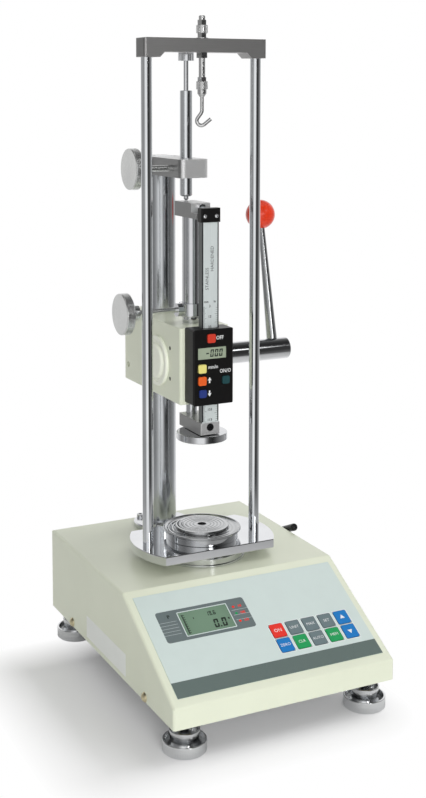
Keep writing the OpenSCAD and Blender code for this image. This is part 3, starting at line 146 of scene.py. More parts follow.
class Graph:
    """A node tree of a material or a world, built from its inputs to its output."""

    def __init__(self, name: str, owner: bpy.types.ID | None = None) -> None:
        """Start an empty tree.

        Args:
            name: The name of the material.
            owner: The world that takes the tree in place of a new material.
        """
        self.material = owner or bpy.data.materials.new(name)
        self.material.use_nodes = True
        self.tree = self.material.node_tree
        self.tree.nodes.clear()

    def number(self, value: "Channel | float") -> Channel:
        """Return a value as a channel."""
        return value if isinstance(value, Channel) else self.math("ADD", value, 0.0)

    def node(self, kind: str, settings: dict | None = None, **sockets: object) -> bpy.types.Node:
        """Add a node, set it up, and feed its sockets.

        Args:
            kind: The node's type.
            settings: Properties that are set first, with a ramp's stops under "stops".
            **sockets: Values or links; a name's underscores stand for spaces, and a
                name such as in_1 means the second socket.

        Returns:
            The new node.
        """
        made = self.tree.nodes.new(kind)
        settings = dict(settings or {})
        stops = settings.pop("stops", None)
        for key, value in settings.items():
            setattr(made, key, value)
        if stops:
            ramp = made.color_ramp.elements
            while len(ramp) < len(stops):
                ramp.new(0.5)
            for element, (place, colour) in zip(ramp, stops):
                element.position = place
                element.color = (*colour, 1)
        for key, value in sockets.items():
            if key.startswith("in_"):
                socket = made.inputs[int(key[3:])]
            else:
                socket = made.inputs[key.replace("_", " ")]
            self.feed(socket, value)
        return made

    def feed(self, socket: bpy.types.NodeSocket, value: object) -> None:
        """Link a channel or socket to a socket, or set its value.

        Args:
            socket: The socket that is fed.
            value: A channel, an output socket, a number, a vector or a colour.
        """
        if isinstance(value, Channel):
            value = value.socket
        if isinstance(value, bpy.types.NodeSocket):
            self.tree.links.new(value, socket)
        elif socket.type == "RGBA":
            socket.default_value = (*value, 1)
        else:
            socket.default_value = value

    def math(self, operation: str, *numbers: "Channel | float", clamp: bool = False) -> Channel:
        """Add a Math node.

        Args:
            operation: Its operation.
            *numbers: Its inputs in order.
            clamp: True to keep the result between 0 and 1.

        Returns:
            Its result.
        """
        feeds = {f"in_{i}": number for i, number in enumerate(numbers)}
        made = self.node("ShaderNodeMath", {"operation": operation, "use_clamp": clamp}, **feeds)
        return Channel(self, made.outputs[0])

    def place(self, centre: Iterable[float] = (0, 0, 0),
              scale: Iterable[float] = (1, 1, 1)) -> bpy.types.NodeSocket:
        """Return Object coordinates about a point of the machine.

        Args:
            centre: The point.
            scale: The scale along each axis.

        Returns:
            The vector socket.
        """
        coords = self.node("ShaderNodeTexCoord").outputs["Object"]
        moved = self.node("ShaderNodeVectorMath", {"operation": "SUBTRACT"}, in_0=coords,
                          in_1=tuple(centre)).outputs[0]
        return self.node("ShaderNodeMapping", Vector=moved, Scale=tuple(scale)).outputs[0]

    def split(self, vector: bpy.types.NodeSocket) -> list[Channel]:
        """Return a vector's three numbers."""
        made = self.node("ShaderNodeSeparateXYZ", Vector=vector)
        return [Channel(self, made.outputs[i]) for i in range(3)]

    def noise(self, vector: bpy.types.NodeSocket, size: float, detail: float = 3) -> Channel:
        """Return smooth noise from 0 to 1.

        Args:
            vector: Where it is read.
            size: Its frequency per metre.
            detail: How many finer layers it has.

        Returns:
            The noise.
        """
        made = self.node("ShaderNodeTexNoise", Vector=vector, Scale=size, Detail=detail)
        return Channel(self, made.outputs["Fac"])

    def blend(self, amount: "Channel | float", first: object, second: object) -> bpy.types.NodeSocket:
        """Mix two colours.

        Args:
            amount: 0 for the first, 1 for the second.
            first: A colour or a colour socket.
            second: A colour or a colour socket.

        Returns:
            The mixed colour.
        """
        made = self.node("ShaderNodeMix", {"data_type": "RGBA"})
        self.feed(made.inputs["Factor"], amount)
        self.feed(made.inputs["A"], first)
        self.feed(made.inputs["B"], second)
        return made.outputs["Result"]

    def step(self, value: Channel, edge: float, soft: float) -> Channel:
        """Return 0 below an edge and 1 above it, with a soft change between.

        Args:
            value: The number that is tested.
            edge: Where it changes.
            soft: The width of the change.

        Returns:
            The mask.
        """
        made = self.node("ShaderNodeMapRange", {"clamp": True}, Value=value)
        made.inputs["From Min"].default_value = edge - soft / 2
        made.inputs["From Max"].default_value = edge + soft / 2
        return Channel(self, made.outputs[0])

    def bump(self, height: Channel, depth: float, strength: float = 1.0) -> bpy.types.NodeSocket:
        """Return a normal bent by a height.

        Args:
            height: The height from 0 to 1.
            depth: The real depth in metres.
            strength: How much of it is used.

        Returns:
            The normal.
        """
        return self.node("ShaderNodeBump", Strength=strength, Distance=depth,
                         Height=height).outputs[0]

    def rays(self) -> tuple[Channel, Channel]:
        """Return two masks: the rays that see the background, and those off metal.

        Returns:
            The rays from the camera or through glass, and the glossy ones.
        """
        path = self.node("ShaderNodeLightPath").outputs
        seen = self.math("MAXIMUM", Channel(self, path["Is Camera Ray"]),
                         Channel(self, path["Is Transmission Ray"]))
        return seen, Channel(self, path["Is Glossy Ray"])

    def surface(self, **sockets: object) -> bpy.types.Material:
        """Close the tree with a Principled shader.

        Args:
            **sockets: Its inputs.

        Returns:
            The material.
        """
        shader = self.node("ShaderNodeBsdfPrincipled", **sockets)
        self.node("ShaderNodeOutputMaterial", Surface=shader.outputs[0])
        return self.material


@dataclass(frozen=True)
class Finish:
    """A surface finish of the machine."""

    name: str
    colour: Colour

    def make(self) -> bpy.types.Material:
        """Return the material, made once for each name."""
        if self.name not in MADE:
            MADE[self.name] = self.paint(Graph(self.name))
        return MADE[self.name]

    def paint(self, graph: Graph) -> bpy.types.Material:
        """Build the material's nodes.

        Args:
            graph: The empty tree.

        Returns:
            The material.
        """
        raise NotImplementedError

    def toned(self, share: float) -> Colour:
        """Return the colour, darker or lighter by a share."""
        return tuple(min(1.0, share * c) for c in self.colour)


@dataclass(frozen=True)
class Enamel(Finish):
    """Stove enamel on sheet or cast metal: a faint orange peel and slight clouding."""

    rough: float = 0.34
    peel: float = 0.04 * MM

    def paint(self, graph: Graph) -> bpy.types.Material:
        """Build the enamel's nodes.

        Args:
            graph: The empty tree.

        Returns:
            The material.
        """
        here = graph.place()
        clouds = graph.noise(here, size=14, detail=4)
        grain = graph.noise(here, size=900, detail=2)
        cloudy = graph.step(clouds, edge=0.5, soft=0.7)
        return graph.surface(
            Base_Color=graph.blend(cloudy, self.colour, self.toned(0.93)),
            Roughness=self.rough + 0.10 * (clouds - 0.5) + 0.05 * (grain - 0.5),
            Normal=graph.bump(grain, depth=self.peel, strength=0.5),
            Coat_Weight=0.25, Coat_Roughness=0.12)


@dataclass(frozen=True)
class Polish(Finish):
    """Hard chrome, with faint wiping marks and a thin grain along one axis."""

    along: Axis = Axis.Z
    rough: float = 0.06
    grain: float = 0.18

    def paint(self, graph: Graph) -> bpy.types.Material:
        """Build the chrome's nodes.

        Args:
            graph: The empty tree.

        Returns:
            The material.
        """
        marks = graph.noise(graph.place(), size=30, detail=3)
        lines = graph.noise(graph.place(scale=self.along.stretch(0.03)), size=1400, detail=2)
        smoke = graph.step(marks, edge=0.55, soft=0.5)
        return graph.surface(
            Base_Color=graph.blend(smoke, self.colour, self.toned(0.90)), Metallic=1.0,
            Roughness=self.rough + 0.05 * graph.step(marks, edge=0.55, soft=0.4) + 0.02 * lines,
            Normal=graph.bump(lines, depth=0.004 * MM, strength=self.grain))


@dataclass(frozen=True)
class Ground(Finish):
    """Ground or milled steel with straight grain along one axis, and painted light and shade on its
    end and top faces.
    """

    along: Axis = Axis.X
    rough: float = 0.3
    metal: float = 1.0
    # Shares of the colour on the end faces and on the top faces: painted light and shade
    painted_end_tone: float = 1.0
    top: float = 1.0
    painted_ends_on: Axis | None = None

    def paint(self, graph: Graph) -> bpy.types.Material:
        """Build the ground steel's nodes.

        Args:
            graph: The empty tree.

        Returns:
            The material.
        """
        facing = graph.split(graph.node("ShaderNodeTexCoord").outputs["Normal"])
        # Masks of the end faces and the top faces, which carry the painted light and shade
        end = graph.step(abs(facing[(self.painted_ends_on or self.along).value]), edge=0.7, soft=0.2)
        up = graph.step(facing[Axis.Z.value], edge=0.7, soft=0.2)
        lines = graph.noise(graph.place(scale=self.along.stretch(0.02)), size=2600, detail=3)
        clouds = graph.noise(graph.place(), size=26, detail=3)
        plain = graph.blend(up, graph.blend(end, self.colour, self.toned(self.painted_end_tone)),
                            self.toned(self.top))
        marks = 0.6 * lines + 0.4 * clouds - 0.12
        return graph.surface(
            Base_Color=graph.blend(0.35 * marks, plain, (0.02, 0.02, 0.02)),
            Metallic=self.metal,
            Roughness=self.rough + 0.12 * (lines - 0.5) + 0.08 * (clouds - 0.5),
            Normal=graph.bump(lines, depth=0.01 * MM, strength=0.6))


@dataclass(frozen=True)
class Turned(Finish):
    """Metal turned on a lathe: fine rings about an axis, with an optional knurled rim."""

    centre: Point = (0.0, 0.0, 0.0)
    axis: Axis = Axis.Z
    rough: float = 0.2
    pitch: float = 0.5 * MM
    knurl_from: float = 0.0
    knurl_band: Span = (0.0, 0.0)
    teeth: int = 90
    wave: float = 0.0
    wave_depth: float = 0.0

    def paint(self, graph: Graph) -> bpy.types.Material:
        """Build the turned metal's nodes.

        Args:
            graph: The empty tree.

        Returns:
            The material.
        """
        parts = graph.split(graph.place(self.centre))
        long = parts.pop(self.axis.value)
        one, two = parts
        radius = graph.math("SQRT", one * one + two * two)
        rings = graph.math("SINE", radius * (2 * math.pi / self.pitch))
        turns = graph.math("SINE", long * (2 * math.pi / self.pitch))
        clouds = graph.noise(graph.place(), size=40, detail=3)
        marks = 0.25 * rings + 0.25 * turns + 0.5
        tone = 0.25 * marks + 0.5 * clouds - 0.2
        normal = graph.bump(marks, depth=0.012 * MM, strength=0.25)
        if self.wave > 0:
            coarse = graph.math("SINE", radius * (2 * math.pi / self.wave)) * 0.5 + 0.5
            normal = graph.bump(coarse + 0.05 * marks, self.wave_depth)
            tone = tone + 0.25 * coarse
        if self.knurl_from > 0:
            angle = graph.math("ARCTAN2", two, one) * self.teeth
            cross = graph.math("SINE", angle) * 0.5 + 0.5
            low, high = self.knurl_band
            outside = graph.step(radius, edge=self.knurl_from - 0.4 * MM, soft=0.3 * MM)
            above = graph.step(long, edge=low, soft=0.4 * MM)
            below = 1 - graph.step(long, edge=high, soft=0.4 * MM)
            rim = outside * above * below
            tone = tone * (1 - 0.7 * rim) + rim * (0.30 - 0.30 * cross)
            normal = graph.bump(marks * 0.06 * (1 - rim) + rim * cross, depth=0.2 * MM, strength=0.5)
        return graph.surface(
            Base_Color=graph.blend(graph.math("MAXIMUM", tone, 0.0), self.colour, self.toned(0.62)),
            Metallic=1.0, Roughness=self.rough + 0.10 * (clouds - 0.5) + 0.04 * marks,
            Normal=normal)


@dataclass(frozen=True)
class Moulded(Finish):
    """Moulded or printed plastic with a fine grain."""

    rough: float = 0.35
    grain: float = 0.03 * MM
    coat: float = 0.0
    size: float = 1600.0
    gloss: float = 0.5
    coat_rough: float = 0.05

    def paint(self, graph: Graph) -> bpy.types.Material:
        """Build the plastic's nodes.

        Args:
            graph: The empty tree.

        Returns:
            The material.
        """
        here = graph.place()
        grain = graph.noise(here, size=self.size, detail=2)
        clouds = graph.noise(here, size=60, detail=3)
        return graph.surface(
            Base_Color=graph.blend(0.5 * clouds + 0.2 * grain, self.colour, self.toned(0.86)),
            Roughness=self.rough + 0.10 * (grain - 0.5) + 0.08 * (clouds - 0.5),
            Specular_IOR_Level=self.gloss,
            Normal=graph.bump(grain, depth=self.grain, strength=0.5), Coat_Weight=self.coat,
            Coat_Roughness=self.coat_rough)


@dataclass(frozen=True)
class Blackened(Finish):
    """Black oxide on steel, rubbed brighter in places."""

    rough: float = 0.36

    def paint(self, graph: Graph) -> bpy.types.Material:
        """Build the oxide's nodes.

        Args:
            graph: The empty tree.

        Returns:
            The material.
        """
        here = graph.place()
        wear = graph.noise(here, size=120, detail=4)
        grain = graph.noise(here, size=1500, detail=2)
        rubbed = graph.step(wear, edge=0.66, soft=0.16)
        return graph.surface(
            Base_Color=graph.blend(0.7 * rubbed, self.colour, self.toned(2.6)),
            Metallic=0.6, Roughness=self.rough + 0.1 * (grain - 0.5) - 0.08 * rubbed,
            Normal=graph.bump(grain, depth=0.02 * MM, strength=0.4))


@dataclass(frozen=True)
class Sockets(Blackened):
    """Blackened socket screws, with bright ones round one point of the machine."""

    bright_at: Point = (0.0, 0.0, 0.0)
    reach: float = 30 * MM

    def paint(self, graph: Graph) -> bpy.types.Material:
        """Build the screws' nodes.

        Args:
            graph: The empty tree.

        Returns:
            The material.
        """
        x, y, z = graph.split(graph.place(self.bright_at))
        far = graph.math("SQRT", x * x + y * y + z * z)
        near = 1 - graph.step(far, edge=self.reach, soft=1 * MM)
        grain = graph.noise(graph.place(), size=1500, detail=2)
        return graph.surface(
            Base_Color=graph.blend(near, self.colour, (0.62, 0.63, 0.64)),
            Metallic=0.6 + 0.4 * near, Roughness=self.rough - 0.14 * near + 0.08 * (grain - 0.5),
            Normal=graph.bump(grain, depth=0.015 * MM, strength=0.4))


@dataclass(frozen=True)
class TwoScrews(Finish):
    """Bright screws above a height and blackened ones below it."""

    split: float = 250 * MM

    def paint(self, graph: Graph) -> bpy.types.Material:
        """Build the screws' nodes.

        Args:
            graph: The empty tree.

        Returns:
            The material.
        """
        _, _, z = graph.split(graph.place())
        grain = graph.noise(graph.place(), size=1500, detail=2)
        bright = graph.step(z, edge=self.split, soft=1 * MM)
        return graph.surface(
            Base_Color=graph.blend(bright, (0.02, 0.02, 0.022), self.colour),
            Metallic=0.6 + 0.4 * bright, Roughness=0.34 - 0.20 * bright + 0.06 * (grain - 0.5),
            Normal=graph.bump(grain, depth=0.008 * MM, strength=0.4))


@dataclass(frozen=True)
class Window(Finish):
    """A liquid-crystal field behind its window: even and glossy, with painted shade that darkens it
    towards the rim.
    """

    centre: Point = (0.0, 0.0, 0.0)
    reach: float = 30 * MM

    def paint(self, graph: Graph) -> bpy.types.Material:
        """Build the display's nodes.

        Args:
            graph: The empty tree.

        Returns:
            The material.
        """
        x, y, z = graph.split(graph.place(self.centre))
        far = graph.math("SQRT", x * x + y * y + z * z) * (1 / self.reach)
        cells = graph.noise(graph.place(), size=2400, detail=1)
        # Painted shade: darker with the distance from the middle
        tone = graph.math("MULTIPLY", far * far, 0.9, clamp=True)
        return graph.surface(
            Base_Color=graph.blend(tone + 0.06 * cells, self.colour, self.toned(0.80)),
            Roughness=0.2 + 0.04 * cells, Coat_Weight=0.3, Coat_Roughness=0.08)


@dataclass(frozen=True)
class Film(Moulded):
    """Smooth film, print and caps: moulded plastic with hardly any grain."""

    rough: float = 0.30
    grain: float = 0.01 * MM


class Cap(Enum):
    """The colours of the panel's keys and lamps, each with its finish."""

    RED = Film("red_cap", shade(242, 42, 22), rough=0.34, gloss=0.3)
    GREY = Film("grey_cap", shade(110, 128, 132), rough=0.34)
    BLUE = Film("blue_cap", shade(0, 124, 202), gloss=0.3)
    GREEN = Film("green_cap", shade(28, 164, 92), gloss=0.3)

    @property
    def slot(self) -> str:
        """Return the record's material slot of this colour."""
        return f"{self.name.lower()}_plastic"


CREAM = Enamel("cream_enamel", shade(233, 238, 216))
# The head cover's cream, lighter than the rest: painted light
COVER_CREAM_PAINTED_LIGHT = Enamel("cover_enamel_painted_light", shade(250, 253, 238))
CHROME = Polish("hard_chrome", (0.80, 0.81, 0.83))
COLUMN_CHROME = Polish("column_chrome", (0.60, 0.62, 0.64), rough=0.17, grain=0.05)
RAM_CHROME = Polish("ram_chrome", (0.68, 0.69, 0.71), grain=0.06)
ROD_CHROME = Polish("ground_rod_chrome", (0.78, 0.80, 0.82), rough=0.07, grain=0.05)
LEVER_CHROME = Polish("lever_chrome", (0.50, 0.51, 0.52), rough=0.14, grain=0.04)
SHAFT_CHROME = Polish("shaft_chrome", (0.78, 0.79, 0.81), Axis.X, rough=0.08)
PLATE_CHROME = Polish("polished_plate", (0.80, 0.81, 0.83), Axis.X, rough=0.05)
NICKEL = Polish("bright_nickel", (0.70, 0.70, 0.70), rough=0.20)
ZINC = Polish("yellow_zinc", (0.72, 0.64, 0.42), rough=0.26)
# The end and top shares of these three steels are painted light and shade
BAR_STEEL = Ground("ground_steel_across", (0.56, 0.555, 0.55), Axis.X, rough=0.42, metal=0.92,
                   painted_end_tone=0.48, top=1.3)
BLOCK_STEEL = Ground("ground_steel_lengthways", (0.30, 0.30, 0.30), Axis.Y, metal=0.62,
                     painted_end_tone=2.9, top=2.3)
SCALE_STEEL = Ground("brushed_scale", (0.80, 0.86, 0.855), Axis.Z, rough=0.42, metal=0.25,
                     painted_end_tone=0.20, painted_ends_on=Axis.X)
ALLOY = Ground("milled_alloy", (0.62, 0.63, 0.64), Axis.Y, rough=0.36)
SPRING_STEEL = Ground("tempered_strip", (0.18, 0.22, 0.30), rough=0.32)
BLACK_STEEL = Blackened("black_oxide", (0.022, 0.022, 0.024))
# Painted shade for the scale's edges
SCALE_EDGE_SHADE = Blackened("scale_edge_shade", (0.05, 0.05, 0.055), rough=0.3)
BLACK_CASE = Moulded("black_case", (0.008, 0.0075, 0.0075), rough=0.34, gloss=0.3)
LABEL = Moulded("paper_label", shade(246, 249, 244), rough=0.5, grain=0.02 * MM)
INK = Moulded("display_ink", (0.015, 0.025, 0.018), rough=0.4)
WHITE_INK = Moulded("white_ink", shade(238, 240, 240), rough=0.4)
DARK_INK = Moulded("scale_ink", shade(66, 70, 72), rough=0.45)
FILM = Film("film_face", shade(213, 227, 223))
BAND = Film("film_band", shade(101, 117, 113))
BEZEL = Film("film_bezel", shade(107, 120, 121))
STRIPE = Film("film_stripe", shade(190, 197, 197))
HALO = Film("key_halo", shade(238, 245, 244), rough=0.32)
# A dark line of painted shade round each raised key
KEY_SHADOW_LINE = Film("key_edge", shade(92, 104, 106), rough=0.32)
FRAME_LINE = Film("film_white", shade(216, 228, 226), rough=0.32)
OFF_RED = Film("off_cap", shade(206, 60, 42), rough=0.34, gloss=0.3)
YELLOW = Moulded("yellow_cap", shade(232, 222, 130), rough=0.32)
ORANGE = Moulded("orange_cap", shade(232, 96, 30), rough=0.32)
NAVY = Moulded("navy_cap", shade(40, 58, 128), rough=0.32)
TEAL = Moulded("teal_cap", shade(34, 74, 78), rough=0.32)
BALL_RED = Moulded("red_ball", shade(230, 58, 22), rough=0.28, grain=0.0004 * MM, coat=0.5,
                   size=40, gloss=0.4, coat_rough=0.16)


def middle(node: str) -> Vector:
    """Return the middle of a CAD node's box."""
    low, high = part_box(node)
    return (low + high) / 2


def front(y: float, z: float = 0.0) -> Matrix:
    """Return the matrix of an upright front: X across, Y up, Z towards the viewer.

    Args:
        y: Where the front stands.
        z: The height at which its Y starts.

    Returns:
        The matrix.
    """
    return Matrix(((1, 0, 0, 0), (0, 0, -1, y), (0, 1, 0, z), (0, 0, 0, 1)))


def dress(finish: Finish, *nodes: str) -> None:
    """Give CAD nodes a finish.

    Args:
        finish: The finish.
        *nodes: The nodes' names.
    """
    material = finish.make()
    for name in nodes:
        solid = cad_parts[name]
        for slot in solid.material_slots:
            slot.material = material
        LOG.info("%s is finished in %s", name, finish.name)


class Piece:
    """One new piece: a bmesh that is shaped by operators and then set in the machine."""

    def __init__(self, name: str) -> None:
        """Start an empty piece."""
        self.name = name
        self.mesh = bmesh.new()

    def slab(self, low: Iterable[float], high: Iterable[float], corner: float = 0.0,
             lean: float = 0.0) -> "Piece":
        """Add a flat plate with rounded upright corners.

        Args:
            low: Its lowest corner.
            high: Its highest corner.
            corner: The radius of its upright edges.
            lean: How far its top leans along X for each unit of Y.

        Returns:
            The piece.
        """
        low, high = Vector(low), Vector(high)
        made = bmesh.ops.create_cube(self.mesh, size=1)["verts"]
        bmesh.ops.scale(self.mesh, vec=high - low, verts=made)
        bmesh.ops.translate(self.mesh, vec=(low + high) / 2, verts=made)
        if corner > 0:
            upright = dict.fromkeys(
                e for v in made for e in v.link_edges
                if abs(e.verts[0].co.z - e.verts[1].co.z) > 0.5 * (high.z - low.z))
            made = bmesh.ops.bevel(self.mesh, geom=list(upright), offset=corner,
                                   segments=CORNER_STEPS, profile=0.5, affect="EDGES",
                                   material=-1)["verts"]
        if lean:
            for vert in made:
                vert.co.x += lean * (vert.co.y - low.y)
        return self

    def window(self, low: Iterable[float], high: Iterable[float], inner_low: Span,
               inner_high: Span, corner: float) -> "Piece":
        """Add a flat plate with rounded corners and a window through it.

        Args:
            low: Its lowest corner.
            high: Its highest corner.
            inner_low: The window's lowest corner across the plate.
            inner_high: The window's highest corner across the plate.
            corner: The radius of the plate's corners.

        Returns:
            The piece.
        """
        self.slab(low, high, corner)
        faces = sorted(self.mesh.faces, key=lambda face: len(face.verts))[-2:]
        inset = 0.5 * MM
        bmesh.ops.inset_individual(self.mesh, faces=faces, thickness=inset)
        centre = (Vector(low) + Vector(high)) / 2
        for vert in [vert for face in faces for vert in face.verts]:
            for i in (0, 1):
                share = (vert.co[i] - centre[i]) / ((high[i] - low[i]) / 2 - inset)
                half = (inner_high[i] - inner_low[i]) / 2
                vert.co[i] = (inner_low[i] + inner_high[i]) / 2 + share * half
        rims = [edge for face in faces for edge in face.edges]
        bmesh.ops.delete(self.mesh, geom=faces, context="FACES_ONLY")
        bmesh.ops.bridge_loops(self.mesh, edges=rims)
        return self

    def disc(self, centre: Iterable[float], radius: float, height: float, segments: int = 24,
             spin: float = 0.0) -> "Piece":
        """Add a round or many-sided plate.

        Args:
            centre: The middle of its lower face.
            radius: Its radius.
            height: Its thickness.
            segments: Its sides.
            spin: Its turn about Z in radians.

        Returns:
            The piece.
        """
        mid = Vector(centre) + Vector((0, 0, height / 2))
        place = Matrix.Translation(mid) @ Matrix.Rotation(spin, 4, "Z")
        bmesh.ops.create_cone(self.mesh, cap_ends=True, segments=segments, radius1=radius,
                              radius2=radius, depth=height, matrix=place)
        return self

    def words(self, text: str, size: float, centre: Iterable[float], height: float,
              bold: float = 0.0, narrow: float = 1.0) -> "Piece":
        """Add raised lettering.

        Args:
            text: The words.
            size: The size of the type.
            centre: The middle of the words on the face.
            height: How far they stand up.
            bold: How far the strokes are widened, in metres.
            narrow: The width of the letters as a share of their usual width.

        Returns:
            The piece.
        """
        curve = bpy.data.curves.new(self.name, "FONT")
        curve.body = text
        curve.size = size
        curve.align_x = "CENTER"
        curve.align_y = "CENTER"
        curve.resolution_u = 2
        curve.offset = bold
        curve.extrude = height / 2
        holder = bpy.data.objects.new(self.name, curve)
        bpy.context.scene.collection.objects.link(holder)
        ready = holder.evaluated_get(bpy.context.evaluated_depsgraph_get())
        shape = bpy.data.meshes.new_from_object(ready)
        mid = Vector(centre) + Vector((0, 0, height / 2))
        shape.transform(Matrix.Translation(mid) @ Matrix.Diagonal((narrow, 1, 1, 1)))
        self.mesh.from_mesh(shape)
        bpy.data.objects.remove(holder)
        bpy.data.curves.remove(curve)
        bpy.data.meshes.remove(shape)
        return self

    def set_in(self, place: Matrix, finish: Finish, slot: str = "panel_film",
               body: str = "frame") -> bpy.types.Object:
        """Turn the bmesh into an object at its place.

        Args:
            place: The matrix that takes the piece to the machine's frame.
            finish: Its finish.
            slot: The record's material slot; not used.
            body: The CAD body that carries it.

        Returns:
            The object.
        """
        bmesh.ops.transform(self.mesh, matrix=place, verts=self.mesh.verts)
        bmesh.ops.recalc_face_normals(self.mesh, faces=self.mesh.faces)
        shape = bpy.data.meshes.new(self.name)
        self.mesh.to_mesh(shape)
        self.mesh.free()
        shape.materials.append(finish.make())
        solid = bpy.data.objects.new(self.name, shape)
        bpy.context.scene.collection.objects.link(solid)
        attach(solid, body)
        LOG.info("%s rides on %s", self.name, body)
        return solid


# The bars of each sign, lettered from the top one clockwise, with g in the middle
SEGMENTS = {
    "0": "abcdef", "1": "bc", "2": "abged", "3": "abgcd", "4": "fgbc", "5": "afgcd",
    "6": "afgedc", "7": "abc", "8": "abcdefg", "9": "abcdfg", "-": "g",
}


@dataclass(frozen=True)
class Digits:
    """Seven-segment digits of a liquid-crystal display, drawn as thin slanted bars."""

    text: str
    height: float
    left: float
    base: float
    thick: float = 0.04 * MM
    lean: float = 0.10
    # A digit's width and a bar's thickness, as shares of the height
    wide: float = 0.5
    weight: float = 0.17
    # The gap between bars, a point's two sides and its advance, and the gap between
    # digits, all as shares of a bar's thickness
    gap: float = 0.25
    point: Span = (-0.3, 0.7)
    point_step: float = 1.3
    spacing: float = 0.9

    def draw(self, piece: Piece, level: float) -> None:
        """Add the digits to a piece.

        Args:
            piece: The piece that takes the bars.
            level: The height of the display's face.
        """
        wide = self.wide * self.height
        bar = self.weight * self.height
        gap = self.gap * bar
        half = self.height / 2
        spans = {
            "a": (gap, self.height - bar, wide - gap, self.height),
            "g": (gap, half - bar / 2, wide - gap, half + bar / 2),
            "d": (gap, 0, wide - gap, bar),
            "b": (wide - bar, half + gap, wide, self.height - gap),
            "c": (wide - bar, gap, wide, half - gap),
            "f": (0, half + gap, bar, self.height - gap),
            "e": (0, gap, bar, half - gap),
        }
        x = self.left
        top = level + self.thick
        for sign in self.text:
            if sign == ".":
                before, after = self.point
                piece.slab((x + before * bar, self.base, level),
                           (x + after * bar, self.base + bar, top))
                x += self.point_step * bar
                continue
            for name in SEGMENTS[sign]:
                x0, y0, x1, y1 = spans[name]
                slant = x + self.lean * y0
                piece.slab((slant + x0, self.base + y0, level), (slant + x1, self.base + y1, top),
                           lean=self.lean)
            x += wide + self.spacing * bar


class Assembly:
    """A sub-assembly: it may add pieces of its own, and it finishes its CAD nodes."""

    def build(self) -> None:
        """Build the pieces that the CAD model lacks, where there are any."""

    def dress(self) -> None:
        """Finish the CAD nodes."""
        raise NotImplementedError


@dataclass(frozen=True)
class Display:
    """What the panel's display shows: two readings, two small marks and a bar graph."""

    readings: tuple[Digits, ...] = (
        Digits("19.6", height=4.6 * MM, left=-43.0 * MM, base=-42.0 * MM),
        Digits("0.0", height=9.2 * MM, left=-40.0 * MM, base=-56.0 * MM))
    marks: tuple[Box, ...] = (
        (-24.4 * MM, -49.6 * MM, -22.8 * MM, -47.6 * MM),
        (-56.5 * MM, -42.6 * MM, -55.7 * MM, -40.6 * MM))
    bar: Box = (-66.4 * MM, -57.0 * MM, -65.4 * MM, -36.0 * MM)
    ticks: int = 9
    first_tick: float = -36.8 * MM
    tick_pitch: float = 2.4 * MM
    tick: Span = (1.5 * MM, 0.7 * MM)
    thick: float = 0.04 * MM

    def draw(self, piece: Piece, level: float) -> None:
        """Add the readings, the marks and the bar graph to a piece.

        Args:
            piece: The piece that takes them.
            level: The height of the display's face.
        """
        for reading in self.readings:
            reading.draw(piece, level)
        top = level + self.thick
        for x0, y0, x1, y1 in (*self.marks, self.bar):
            piece.slab((x0, y0, level), (x1, y1, top))
        long, tall = self.tick
        x = self.bar[2]
        for i in range(self.ticks):
            y = self.first_tick - i * self.tick_pitch
            piece.slab((x, y - tall / 2, level), (x + long, y + tall / 2, top))


